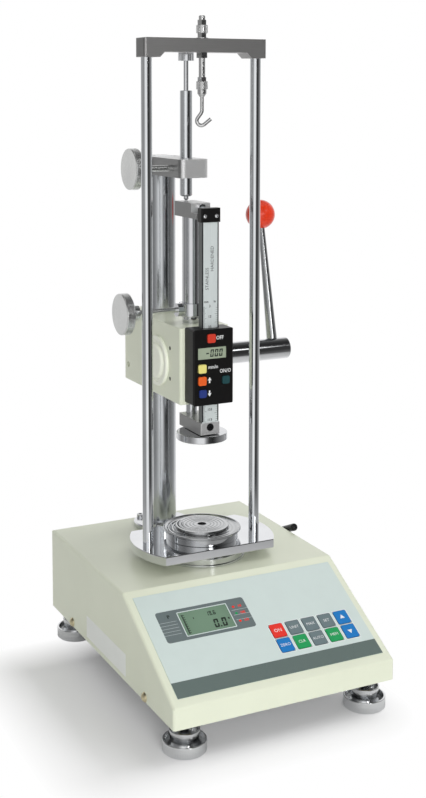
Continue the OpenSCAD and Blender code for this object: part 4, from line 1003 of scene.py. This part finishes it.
@dataclass
class Panel(Assembly):
    """The film panel on the slope: its print, the display and the keys' legends.

    A place on it is given across and down the slope from the upper bend.
    """

    bend: Point = (0.0, -39.0 * MM, 108.5 * MM)
    slope: float = math.radians(29.01)
    film: float = 0.6 * MM
    side: float = 102.7 * MM
    bottom: float = 117.3 * MM
    band_top: float = 101.5 * MM
    ink: float = 0.04 * MM
    bold: float = 0.16 * MM
    # Left, top, right and bottom of the dark field and of the display in it
    bezel: Box = (-89.6 * MM, 29.0 * MM, -1.4 * MM, 62.7 * MM)
    bezel_corner: float = 2.6 * MM
    glass: Box = (-69.7 * MM, 32.4 * MM, -19.7 * MM, 59.4 * MM)
    glass_line: float = 0.8 * MM
    glass_look: Window = Window("force_lcd", shade(118, 148, 124),
                                centre=(-44.7 * MM, -79.5 * MM, 86.5 * MM), reach=34 * MM)
    display: Display = Display()
    display_lift: float = 0.01 * MM
    # The stripes left and right of the display: their count, first place and pitch, and
    # the gap to the display
    stripe: float = 0.36 * MM
    stripe_rows: tuple[tuple[int, float, float, float], ...] = (
        (5, 41.0 * MM, 3.4 * MM, 3.0 * MM), (3, 41.6 * MM, 5.4 * MM, 2.2 * MM))
    peak: Span = (-78.5 * MM, 35.6 * MM)
    peak_size: float = 5.2 * MM
    lamps: tuple[tuple[str, Cap, float], ...] = (
        ("HI", Cap.RED, 38.0 * MM), ("OK", Cap.GREEN, 45.5 * MM), ("LO", Cap.RED, 54.0 * MM))
    lamp_x: float = -14.4 * MM
    lamp_r: float = 1.3 * MM
    lamp_word_x: float = -7.8 * MM
    lamp_word: float = 3.4 * MM
    keys: tuple[tuple[str, tuple[tuple[str | Arrow, Cap], ...]], ...] = (
        ("a", (("ON", Cap.RED), ("UNIT", Cap.GREY), ("MAX", Cap.GREY), ("SET", Cap.GREY),
               (Arrow.UP, Cap.BLUE))),
        ("b", (("ZERO", Cap.BLUE), ("CLR", Cap.GREEN), ("AUTO", Cap.GREY), ("MEM", Cap.GREEN),
               (Arrow.DOWN, Cap.BLUE))))
    key: Span = (13.2 * MM, 14.0 * MM)
    key_up: float = 0.6 * MM
    sign_t: float = 0.02 * MM
    short_sign: float = 5.0 * MM
    long_sign: float = 4.0 * MM
    arrow_r: float = 2.8 * MM
    # The gap from a key to each line round it, and the line's width; the inner dark line is painted
    # shade round the raised key
    edge: Span = (0.25 * MM, 0.35 * MM)
    halo: Span = (0.60 * MM, 0.65 * MM)
    line_corner: float = 1.0 * MM

    def face(self) -> Matrix:
        """Return the matrix of the slope: X across, Y up the slope, Z out of it."""
        cos, sin = math.cos(self.slope), math.sin(self.slope)
        turn = Matrix(((1, 0, 0, 0), (0, cos, -sin, 0), (0, sin, cos, 0), (0, 0, 0, 1)))
        return Matrix.Translation(self.bend) @ turn

    def each_key(self) -> list[tuple[str, str | Arrow, Cap]]:
        """Return each key's node, its sign and its cap."""
        return [(f"key_{row}{col}", sign, cap) for row, caps in self.keys
                for col, (sign, cap) in enumerate(caps, 1)]

    def build(self) -> None:
        """Build the print, the display's figures and the legends."""
        self.fields()
        self.stripes()
        self.figures()
        self.indicators()
        self.legends()

    def fields(self) -> None:
        """Build the dark band, the dark field round the display and its pale line."""
        low, top = self.film, self.film + self.ink
        band = Piece("panel_band")
        band.slab((-self.side, -self.bottom, low), (self.side, -self.band_top, top))
        band.set_in(self.face(), BAND)
        x0, u0, x1, u1 = self.bezel
        g0, v0, g1, v1 = self.glass
        bezel = Piece("display_bezel")
        bezel.window((x0, -u1, low), (x1, -u0, top), (g0, -v1), (g1, -v0), self.bezel_corner)
        bezel.set_in(self.face(), BEZEL)
        line = self.glass_line
        rim = Piece("display_frame")
        rim.window((g0, -v1, low), (g1, -v0, top + self.ink), (g0 + line, -v1 + line),
                   (g1 - line, -v0 - line), line)
        rim.set_in(self.face(), FRAME_LINE)

    def stripes(self) -> None:
        """Build the pale lines at both sides of the display."""
        lines = Piece("bezel_stripes")
        low = self.film + self.ink
        for side, (count, first, pitch, gap) in enumerate(self.stripe_rows):
            if side == 0:
                x0, x1 = self.bezel[0], self.glass[0] - gap
            else:
                x0, x1 = self.glass[2] + gap, self.bezel[2]
            for i in range(count):
                y = -(first + i * pitch)
                lines.slab((x0, y - self.stripe / 2, low), (x1, y + self.stripe / 2, low + self.ink))
        lines.set_in(self.face(), STRIPE)

    def figures(self) -> None:
        """Build what the display shows, and the sign of the peak beside it."""
        shown = Piece("display_figures")
        self.display.draw(shown, self.film + self.display_lift)
        shown.set_in(self.face(), INK, "lcd")
        x, u = self.peak
        peak = Piece("peak_mark")
        peak.words("P", self.peak_size, (x, -u, self.film + self.ink), self.ink, self.bold)
        peak.set_in(self.face(), INK)

    def indicators(self) -> None:
        """Build the three indicator lamps with their words."""
        low = self.film + self.ink
        for word, cap, u in self.lamps:
            lamp = Piece(f"lamp_{word.lower()}")
            lamp.disc((self.lamp_x, -u, low), self.lamp_r, 2 * self.ink)
            lamp.set_in(self.face(), cap.value, cap.slot)
            sign = Piece(f"sign_{word.lower()}")
            sign.words(word, self.lamp_word, (self.lamp_word_x, -u, low), self.ink, self.bold)
            sign.set_in(self.face(), Cap.RED.value, Cap.RED.slot)

    def legends(self) -> None:
        """Build the keys' signs, a dark line of painted shade round each key, and a pale line outside
        it.
        """
        low = self.film + self.key_up
        for name, sign, cap in self.each_key():
            x, y, _ = self.face().inverted() @ middle(name)
            mark = Piece(name + "_sign")
            if isinstance(sign, Arrow):
                mark.disc((x, y, low), self.arrow_r, self.sign_t, 3, sign.spin)
            else:
                size = self.short_sign if len(sign) < 3 else self.long_sign
                mark.words(sign, size, (x, y, low), self.sign_t)
            mark.set_in(self.face(), WHITE_INK, cap.slot, name)
            # The inner line is painted shade round the raised key; the outer one is a pale line
            self.outline(name + "_edge", KEY_SHADOW_LINE, (x, y), self.edge)
            self.outline(name + "_halo", HALO, (x, y), self.halo)

    def outline(self, name: str, finish: Finish, centre: Span, line: Span) -> None:
        """Lay a flat line round a key: the pale one, or the dark one of painted shade.

        Args:
            name: The piece's name.
            finish: Its ink, or the painted shade of the dark line.
            centre: The key's centre on the slope.
            line: The gap from the key to the line, and the line's width.
        """
        x, y = centre
        gap, wide = line
        a, b = self.key[0] / 2 + gap, self.key[1] / 2 + gap
        ring = Piece(name)
        ring.window((x - a - wide, y - b - wide, self.film),
                    (x + a + wide, y + b + wide, self.film + self.ink),
                    (x - a, y - b), (x + a, y + b), self.line_corner)
        ring.set_in(self.face(), finish)

    def dress(self) -> None:
        """Finish the panel's CAD nodes."""
        dress(FILM, "front_panel")
        dress(self.glass_look, "force_display")
        for name, _, cap in self.each_key():
            dress(cap.value, name)


@dataclass
class Base(Assembly):
    """The painted base, its floor plate, feet, screws, side lock and side label."""

    # Front, bottom, rear and top of the label, on the left wall
    label: Box = (-47 * MM, 33 * MM, 50 * MM, 54 * MM)
    label_t: float = 0.06 * MM
    label_corner: float = 0.8 * MM
    # Bottom and top of the knurled band of a foot's cup
    cup: Span = (1.2 * MM, 6.6 * MM)
    cup_teeth: int = 84
    turning: float = 0.6 * MM
    # The socket screws round this point, on the column's flange, are bright
    flange_top: Point = (0.0, 116 * MM, 116 * MM)

    def build(self) -> None:
        """Build the blank label on the left wall."""
        y0, z0, y1, z1 = self.label
        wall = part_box("base_housing")[0].x
        turn = Matrix(((0, 0, -1, wall), (-1, 0, 0, 0), (0, 1, 0, 0), (0, 0, 0, 1)))
        label = Piece("side_label")
        label.slab((-y1, z0, 0), (-y0, z1, self.label_t), self.label_corner)
        label.set_in(turn, LABEL)

    def dress(self) -> None:
        """Finish the base's CAD nodes."""
        dress(CREAM, "base_housing")
        dress(ALLOY, "base_plate", "load_cell")
        dress(ZINC, "base_fasteners")
        dress(BLACK_STEEL, "side_lock")
        dress(Sockets("socket_heads", BLACK_STEEL.colour, bright_at=self.flange_top), "socket_screws")
        for place in ("front_left", "front_right", "rear_left", "rear_right"):
            name = f"foot_{place}"
            low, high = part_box(name)
            centre = middle(name)
            dress(Turned(name + "_turned", (0.82, 0.83, 0.84), (centre.x, centre.y, 0.0), rough=0.15,
                         pitch=self.turning, knurl_from=(high.x - low.x) / 2, knurl_band=self.cup,
                         teeth=self.cup_teeth), name)


@dataclass
class LoadFrame(Assembly):
    """The load ring, the plates, the two rods, the crossbar and the hook."""

    turning: float = 0.7 * MM
    # Pitch and depth of the round grooves in the compression plate
    groove: float = 3.6 * MM
    groove_depth: float = 0.22 * MM

    def dress(self) -> None:
        """Finish the load frame's CAD nodes."""
        centre = middle("yoke_plate")
        axis = (centre.x, centre.y, 0.0)
        dress(Turned("turned_chrome", (0.74, 0.75, 0.77), axis, rough=0.10, pitch=self.turning),
              "load_ring", "pressure_disc")
        dress(Turned("faced_chrome", (0.56, 0.57, 0.58), axis, rough=0.10, pitch=self.turning,
                     wave=self.groove, wave_depth=self.groove_depth), "compression_plate")
        dress(PLATE_CHROME, "yoke_plate")
        dress(ROD_CHROME, "frame_rods")
        dress(BAR_STEEL, "crossbar")
        dress(NICKEL, "hook_stud", "hook_coupler", "hook")
        dress(Turned("stem_steel", (0.60, 0.61, 0.62), axis, rough=0.24), "load_stem")


@dataclass
class Column(Assembly):
    """The column with its flange, the top bracket, the stop and the two milled knobs."""

    knob_t: float = 8.4 * MM
    knob_edge: float = 0.9 * MM
    knob_teeth: int = 96
    turning: float = 0.6 * MM

    def dress(self) -> None:
        """Finish the column's CAD nodes."""
        dress(COLUMN_CHROME, "column")
        dress(ROD_CHROME, "stop_tube")
        centre = middle("column")
        dress(Turned("flange_chrome", (0.78, 0.79, 0.81), (centre.x, centre.y, 0.0), rough=0.12),
              "column_flange")
        dress(CHROME, "stop_screw")
        dress(BLOCK_STEEL, "top_bracket")
        dress(RAM_CHROME, "stop_collar")
        for name in ("bracket_knob", "collar_knob"):
            low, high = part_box(name)
            dress(Turned(name + "_turned", (0.90, 0.91, 0.90), (low.x, *middle(name).yz), Axis.X,
                         rough=0.24, pitch=self.turning, knurl_from=(high.z - low.z) / 2,
                         knurl_band=(self.knob_edge, self.knob_t - self.knob_edge),
                         teeth=self.knob_teeth), name)


class Head(Assembly):
    """The painted head with its cover, bushes, spring, pinion shaft and lever."""

    def dress(self) -> None:
        """Finish the head's CAD nodes."""
        dress(CREAM, "head_body")
        # The cover gets the lighter cream: painted light
        dress(COVER_CREAM_PAINTED_LIGHT, "head_cover")
        axis = (0.0, *middle("shaft_bushes").yz)
        dress(Turned("sintered_bronze", (0.50, 0.32, 0.14), axis, Axis.X, rough=0.34), "shaft_bushes")
        dress(SPRING_STEEL, "return_spring")
        dress(SHAFT_CHROME, "pinion_shaft")
        dress(LEVER_CHROME, "lever_rod")
        dress(BALL_RED, "ball_knob")


@dataclass
class Ram(Assembly):
    """The ram with its blocks, and the scale with its marks and end cap."""

    # Ends of the scale's division, and the top of its dark rims, which are painted shade along the
    # beam's edges
    low: float = 244 * MM
    high: float = 355 * MM
    top: float = 435.6 * MM
    rim: float = 1.3 * MM
    # Distance of the lines from the edge, their thickness, and the height of the print
    inset: float = 1.2 * MM
    line: float = 0.26 * MM
    mark: float = 0.02 * MM
    bold: float = 0.08 * MM
    # Lengths of the lines at 10, 5 and 1 mm, and of the long and short ones opposite
    metric: Point = (3.4 * MM, 2.6 * MM, 1.8 * MM)
    inches: Span = (3.0 * MM, 1.6 * MM)
    number: float = 3.4 * MM
    number_at: Span = (-0.6 * MM, 1.6 * MM)
    unit: float = 3.2 * MM
    unit_up: float = 5 * MM
    units: tuple[tuple[str, float], ...] = (("mm", -4.4 * MM), ("in", 4.6 * MM))
    word: float = 4.6 * MM
    # Upright words, with their places above the division and left of the middle
    words: tuple[tuple[str, float, float], ...] = (
        ("STAINLESS", 27 * MM, 3.4 * MM), ("HARDENED", 46 * MM, -2.0 * MM))

    def build(self) -> None:
        """Build the marks, the words and the dark rims of painted shade along the scale's edges."""
        near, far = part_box("scale_beam")
        face = front(near.y)
        self.division(far.x - self.inset).set_in(face, DARK_INK, "scale_steel", "ram_body")
        note = Piece("scale_note")
        for text, up, left in self.words:
            note.words(text, self.word, (self.high + up, left, 0), self.mark)
        upright = face @ Matrix.Rotation(math.pi / 2, 4, "Z")
        note.set_in(upright, DARK_INK, "scale_steel", "ram_body")
        # Dark strips along both edges of the beam: painted shade
        rims = Piece("scale_painted_edges")
        for x in (-far.x, far.x - self.rim):
            rims.slab((x, self.low, 0), (x + self.rim, self.top, self.mark))
        rims.set_in(face, SCALE_EDGE_SHADE, "scale_steel", "ram_body")

    def division(self, edge: float) -> Piece:
        """Draw the lines, numbers and units of the scale.

        Args:
            edge: How far from the middle the lines start.

        Returns:
            The piece with all of them.
        """
        marks = Piece("scale_marks")
        count = round((self.high - self.low) / MM)
        tall, medium, short = self.metric
        half = self.line / 2
        for i in range(count + 1):
            z = self.low + i * MM
            long = tall if i % 10 == 0 else medium if i % 5 == 0 else short
            marks.slab((-edge, z - half, 0), (-edge + long, z + half, self.mark))
            if i % 2 == 0:
                long = self.inches[0 if i % 8 == 0 else 1]
                marks.slab((edge - long, z - half, 0), (edge, z + half, self.mark))
        x, up = self.number_at
        for i in range(0, count + 1, 10):
            marks.words(str(count + 2 - i), self.number, (x, self.low + i * MM + up, 0), self.mark,
                        self.bold)
        for text, x in self.units:
            marks.words(text, self.unit, (x, self.high + self.unit_up, 0), self.mark, self.bold)
        return marks

    def dress(self) -> None:
        """Finish the ram's CAD nodes."""
        dress(RAM_CHROME, "ram")
        dress(BLOCK_STEEL, "ram_top_block", "ram_bottom_block")
        dress(SCALE_STEEL, "scale_beam")
        dress(BLACK_CASE, "scale_end_cap")
        dress(TwoScrews("block_screws", (0.80, 0.81, 0.83)), "ram_screws")


@dataclass
class Readout(Assembly):
    """The digital readout on the scale: its case, display, buttons and print."""

    mark: float = 0.04 * MM
    bold: float = 0.04 * MM
    narrow: float = 0.86
    # The words with their size and their places across and up
    signs: tuple[tuple[str, float, float, float], ...] = (
        ("OFF", 5.2 * MM, 6.7 * MM, 64 * MM), ("mm/in", 4.8 * MM, -0.4 * MM, 36.4 * MM),
        ("ON/O", 5.2 * MM, 12.6 * MM, 31.6 * MM))
    # The arrows with their heights, and the sizes of their heads and stems
    arrows: tuple[tuple[Arrow, float], ...] = ((Arrow.UP, 23.7 * MM), (Arrow.DOWN, 11.5 * MM))
    arrow_x: float = -4.2 * MM
    head: float = 2.2 * MM
    head_off: float = 1.2 * MM
    stem: Span = (1.4 * MM, 3.0 * MM)
    stem_off: float = 1.0 * MM
    reading: Digits = Digits("-000", height=7.2 * MM, left=-8.4 * MM, base=46.2 * MM)
    reading_lift: float = -0.1 * MM
    glass_look: Window = Window("readout_field", shade(160, 172, 150),
                                centre=(-1.5 * MM, -4.0 * MM, 311.8 * MM), reach=20 * MM)
    caps: tuple[tuple[str, Finish], ...] = (
        ("off_button", OFF_RED), ("unit_button", YELLOW), ("preset_up_button", ORANGE),
        ("preset_down_button", NAVY), ("zero_button", TEAL))

    def build(self) -> None:
        """Build the words, arrows and figures on the front."""
        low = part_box("readout_housing")[0]
        face = front(low.y, low.z)
        marks = Piece("readout_print")
        for text, size, x, y in self.signs:
            marks.words(text, size, (x, y, 0), self.mark, self.bold, self.narrow)
        wide, long = self.stem
        for arrow, y in self.arrows:
            marks.disc((self.arrow_x, y + arrow.value * self.head_off, 0), self.head, self.mark, 3,
                       arrow.spin)
            y -= arrow.value * self.stem_off
            marks.slab((self.arrow_x - wide / 2, y - long / 2, 0),
                       (self.arrow_x + wide / 2, y + long / 2, self.mark))
        marks.set_in(face, WHITE_INK, "black_plastic")
        figures = Piece("readout_figures")
        self.reading.draw(figures, self.reading_lift)
        figures.set_in(face, INK, "lcd")

    def dress(self) -> None:
        """Finish the readout's CAD nodes."""
        dress(BLACK_CASE, "readout_housing")
        dress(self.glass_look, "readout_lcd")
        for button, finish in self.caps:
            dress(finish, button)


@dataclass(frozen=True)
class Surroundings:
    """What polished metal sees round the machine: light screens and dark gaps by bearing."""

    front: float = math.radians(-116.7)
    # Bearings from the front in degrees, each with the brightness there
    stops: tuple[Span, ...] = (
        (-180, 1.0), (-148, 0.95), (-126, 0.60), (-106, 0.26), (-80, 0.40), (-56, 0.26),
        (-36, 0.50), (-17, 1.0), (9, 1.0), (20, 0.34), (32, 0.05), (52, 0.02), (66, 0.09),
        (91, 0.24), (124, 0.42), (146, 0.95), (180, 1.0))
    # The height where the walls end, how softly, and the share that is left above
    ceiling: Point = (0.62, 0.30, 0.14)
    # The height where the overhead light starts, how softly, and its brightness
    zenith: Point = (0.955, 0.03, 0.70)

    def tone(self, graph: Graph, bearing: Channel, rise: "Channel | float") -> Channel:
        """Return the brightness that metal sees in a direction.

        Args:
            graph: The tree that takes the nodes.
            bearing: The direction's angle about Z in radians.
            rise: The Z part of the direction.

        Returns:
            The brightness.
        """
        off = graph.math("WRAP", bearing - self.front, math.pi, -math.pi)
        ramp = graph.node("ShaderNodeValToRGB", {"stops": [
            ((angle + 180) / 360, (tone, tone, tone)) for angle, tone in self.stops]},
            in_0=off * (0.5 / math.pi) + 0.5)
        around = Channel(graph, ramp.outputs[0])
        height = graph.number(rise)
        edge, soft, dark = self.ceiling
        top, fade, bright = self.zenith
        return (around * (1 - (1 - dark) * graph.step(height, edge, soft))
                + bright * graph.step(height, top, fade))


@dataclass
class Studio:
    """The floor, the even light, the screens and the camera."""

    focal: float = 57.94
    sensor: float = 36.0
    shift: Span = (0.0179, -0.2268)
    eye: Point = (-0.5408, -1.0749, 0.5567)
    yaw: float = math.radians(26.12)
    pitch: float = math.radians(5.54)
    level: float = 0.43
    around: Surroundings = Surroundings()
    floor_half: float = 12.0
    floor_tones: Span = (0.90, 0.92)
    floor_lift: float = 0.06
    # Centre and half sizes of the shadow's field, and where it turns white for the
    # camera and for metal, with the softness of each change
    shadow: Box = (-45.0 * MM, -32.5 * MM, 115.0 * MM, 102.5 * MM)
    fade: Span = (30 * MM, 60 * MM)
    metal_fade: Span = (260 * MM, 300 * MM)
    # Each lamp's name, place, side and power, and whether only metal sees it
    lamps: tuple[tuple[str, Point, float, float, bool], ...] = (
        ("key", (-0.7, -2.8, 0.95), 1.3, 44, False), ("top", (1.35, 0.2, 2.5), 1.5, 21, False),
        ("spark", (0.1, -2.5, 0.95), 0.4, 4, True), ("strip", (1.1, -1.9, 1.7), 0.5, 1.5, True))
    aim: Point = (0.0, 0.0, 0.25)

    def build(self) -> None:
        """Build everything round the machine."""
        self.floor()
        self.world()
        for name, where, size, power, mirrored in self.lamps:
            self.lamp(name, where, size, power, mirrored)
        self.camera()

    def floor(self) -> None:
        """Lay a wide pale floor that turns into the white background."""
        shape = bmesh.new()
        bmesh.ops.create_grid(shape, x_segments=8, y_segments=8, size=self.floor_half)
        mesh = bpy.data.meshes.new("floor")
        shape.to_mesh(mesh)
        shape.free()
        graph = Graph("studio_floor")
        grain = graph.noise(graph.place(), size=8, detail=2)
        x, y, _ = graph.split(graph.place())
        first, second = [(tone, tone, tone) for tone in self.floor_tones]
        plain = graph.node("ShaderNodeBsdfDiffuse", Roughness=0.0,
                           Color=graph.blend(grain, first, second))
        seen, metal = graph.rays()
        left, near, half_x, half_y = self.shadow
        beside = graph.math("MAXIMUM", abs(x - left) - half_x, 0.0)
        before = graph.math("MAXIMUM", abs(y - near) - half_y, 0.0)
        reach = graph.math("SQRT", beside * beside + before * before)
        far = seen * graph.step(reach, *self.fade) + metal * graph.step(reach, *self.metal_fade)
        mirrored = self.around.tone(graph, graph.math("ARCTAN2", y, x), 0.0)
        glow = graph.node("ShaderNodeEmission", Color=(1, 1, 1), Strength=self.floor_lift * seen)
        lit = graph.node("ShaderNodeAddShader", in_0=plain.outputs[0], in_1=glow.outputs[0])
        white = graph.node("ShaderNodeEmission", Color=(1, 1, 1), Strength=seen + metal * mirrored)
        both = graph.node("ShaderNodeMixShader", in_0=far, in_1=lit.outputs[0],
                          in_2=white.outputs[0])
        graph.node("ShaderNodeOutputMaterial", Surface=both.outputs[0])
        mesh.materials.append(graph.material)
        ground = bpy.data.objects.new("floor", mesh)
        bpy.context.scene.collection.objects.link(ground)

    def world(self) -> None:
        """Make the even light, the white background and the streaks in the metal."""
        world = bpy.data.worlds.new("studio")
        bpy.context.scene.world = world
        graph = Graph("studio", world)
        seen, metal = graph.rays()
        x, y, z = graph.split(graph.node("ShaderNodeTexCoord").outputs["Generated"])
        tone = self.around.tone(graph, graph.math("ARCTAN2", y, x), z)
        even = graph.node("ShaderNodeBackground", Color=(1, 1, 1), Strength=self.level)
        mirror = graph.node("ShaderNodeBackground", Color=(1, 1, 1), Strength=tone)
        white = graph.node("ShaderNodeBackground", Color=(1, 1, 1), Strength=1.0)
        first = graph.node("ShaderNodeMixShader", in_0=metal, in_1=even.outputs[0],
                           in_2=mirror.outputs[0])
        both = graph.node("ShaderNodeMixShader", in_0=seen, in_1=first.outputs[0],
                          in_2=white.outputs[0])
        graph.node("ShaderNodeOutputWorld", Surface=both.outputs[0])

    def lamp(self, name: str, where: Point, size: float, power: float, mirrored: bool) -> None:
        """Hang a soft square lamp that faces the machine.

        Args:
            name: Its name.
            where: Its place.
            size: The length of its side.
            power: Its power in watts.
            mirrored: True where it only makes highlights, False where it only lights.
        """
        data = bpy.data.lights.new(name, "AREA")
        data.shape = "SQUARE"
        data.size = size
        data.energy = power
        lamp = bpy.data.objects.new(name, data)
        lamp.location = where
        lamp.rotation_euler = (Vector(self.aim) - Vector(where)).to_track_quat("-Z", "Y").to_euler()
        lamp.visible_glossy = mirrored
        lamp.visible_diffuse = not mirrored
        bpy.context.scene.collection.objects.link(lamp)

    def camera(self) -> None:
        """Set the camera at the photograph's viewpoint."""
        data = bpy.data.cameras.new("camera")
        data.lens = self.focal
        data.sensor_width = self.sensor
        data.shift_x, data.shift_y = self.shift
        camera = bpy.data.objects.new("camera", data)
        camera.location = self.eye
        camera.rotation_euler = (math.pi / 2 - self.pitch, 0, -self.yaw)
        bpy.context.scene.collection.objects.link(camera)
        bpy.context.scene.camera = camera
        bpy.context.scene.view_settings.view_transform = "Standard"


def main() -> None:
    """Build the studio and dress every sub-assembly."""
    logging.basicConfig(level=logging.INFO, format="%(name)s: %(message)s")
    Studio().build()
    for part in (Base(), LoadFrame(), Column(), Head(), Ram(), Readout(), Panel()):
        part.build()
        part.dress()
        LOG.info("%s is done", type(part).__name__)


if __name__ == "__main__":
    main()
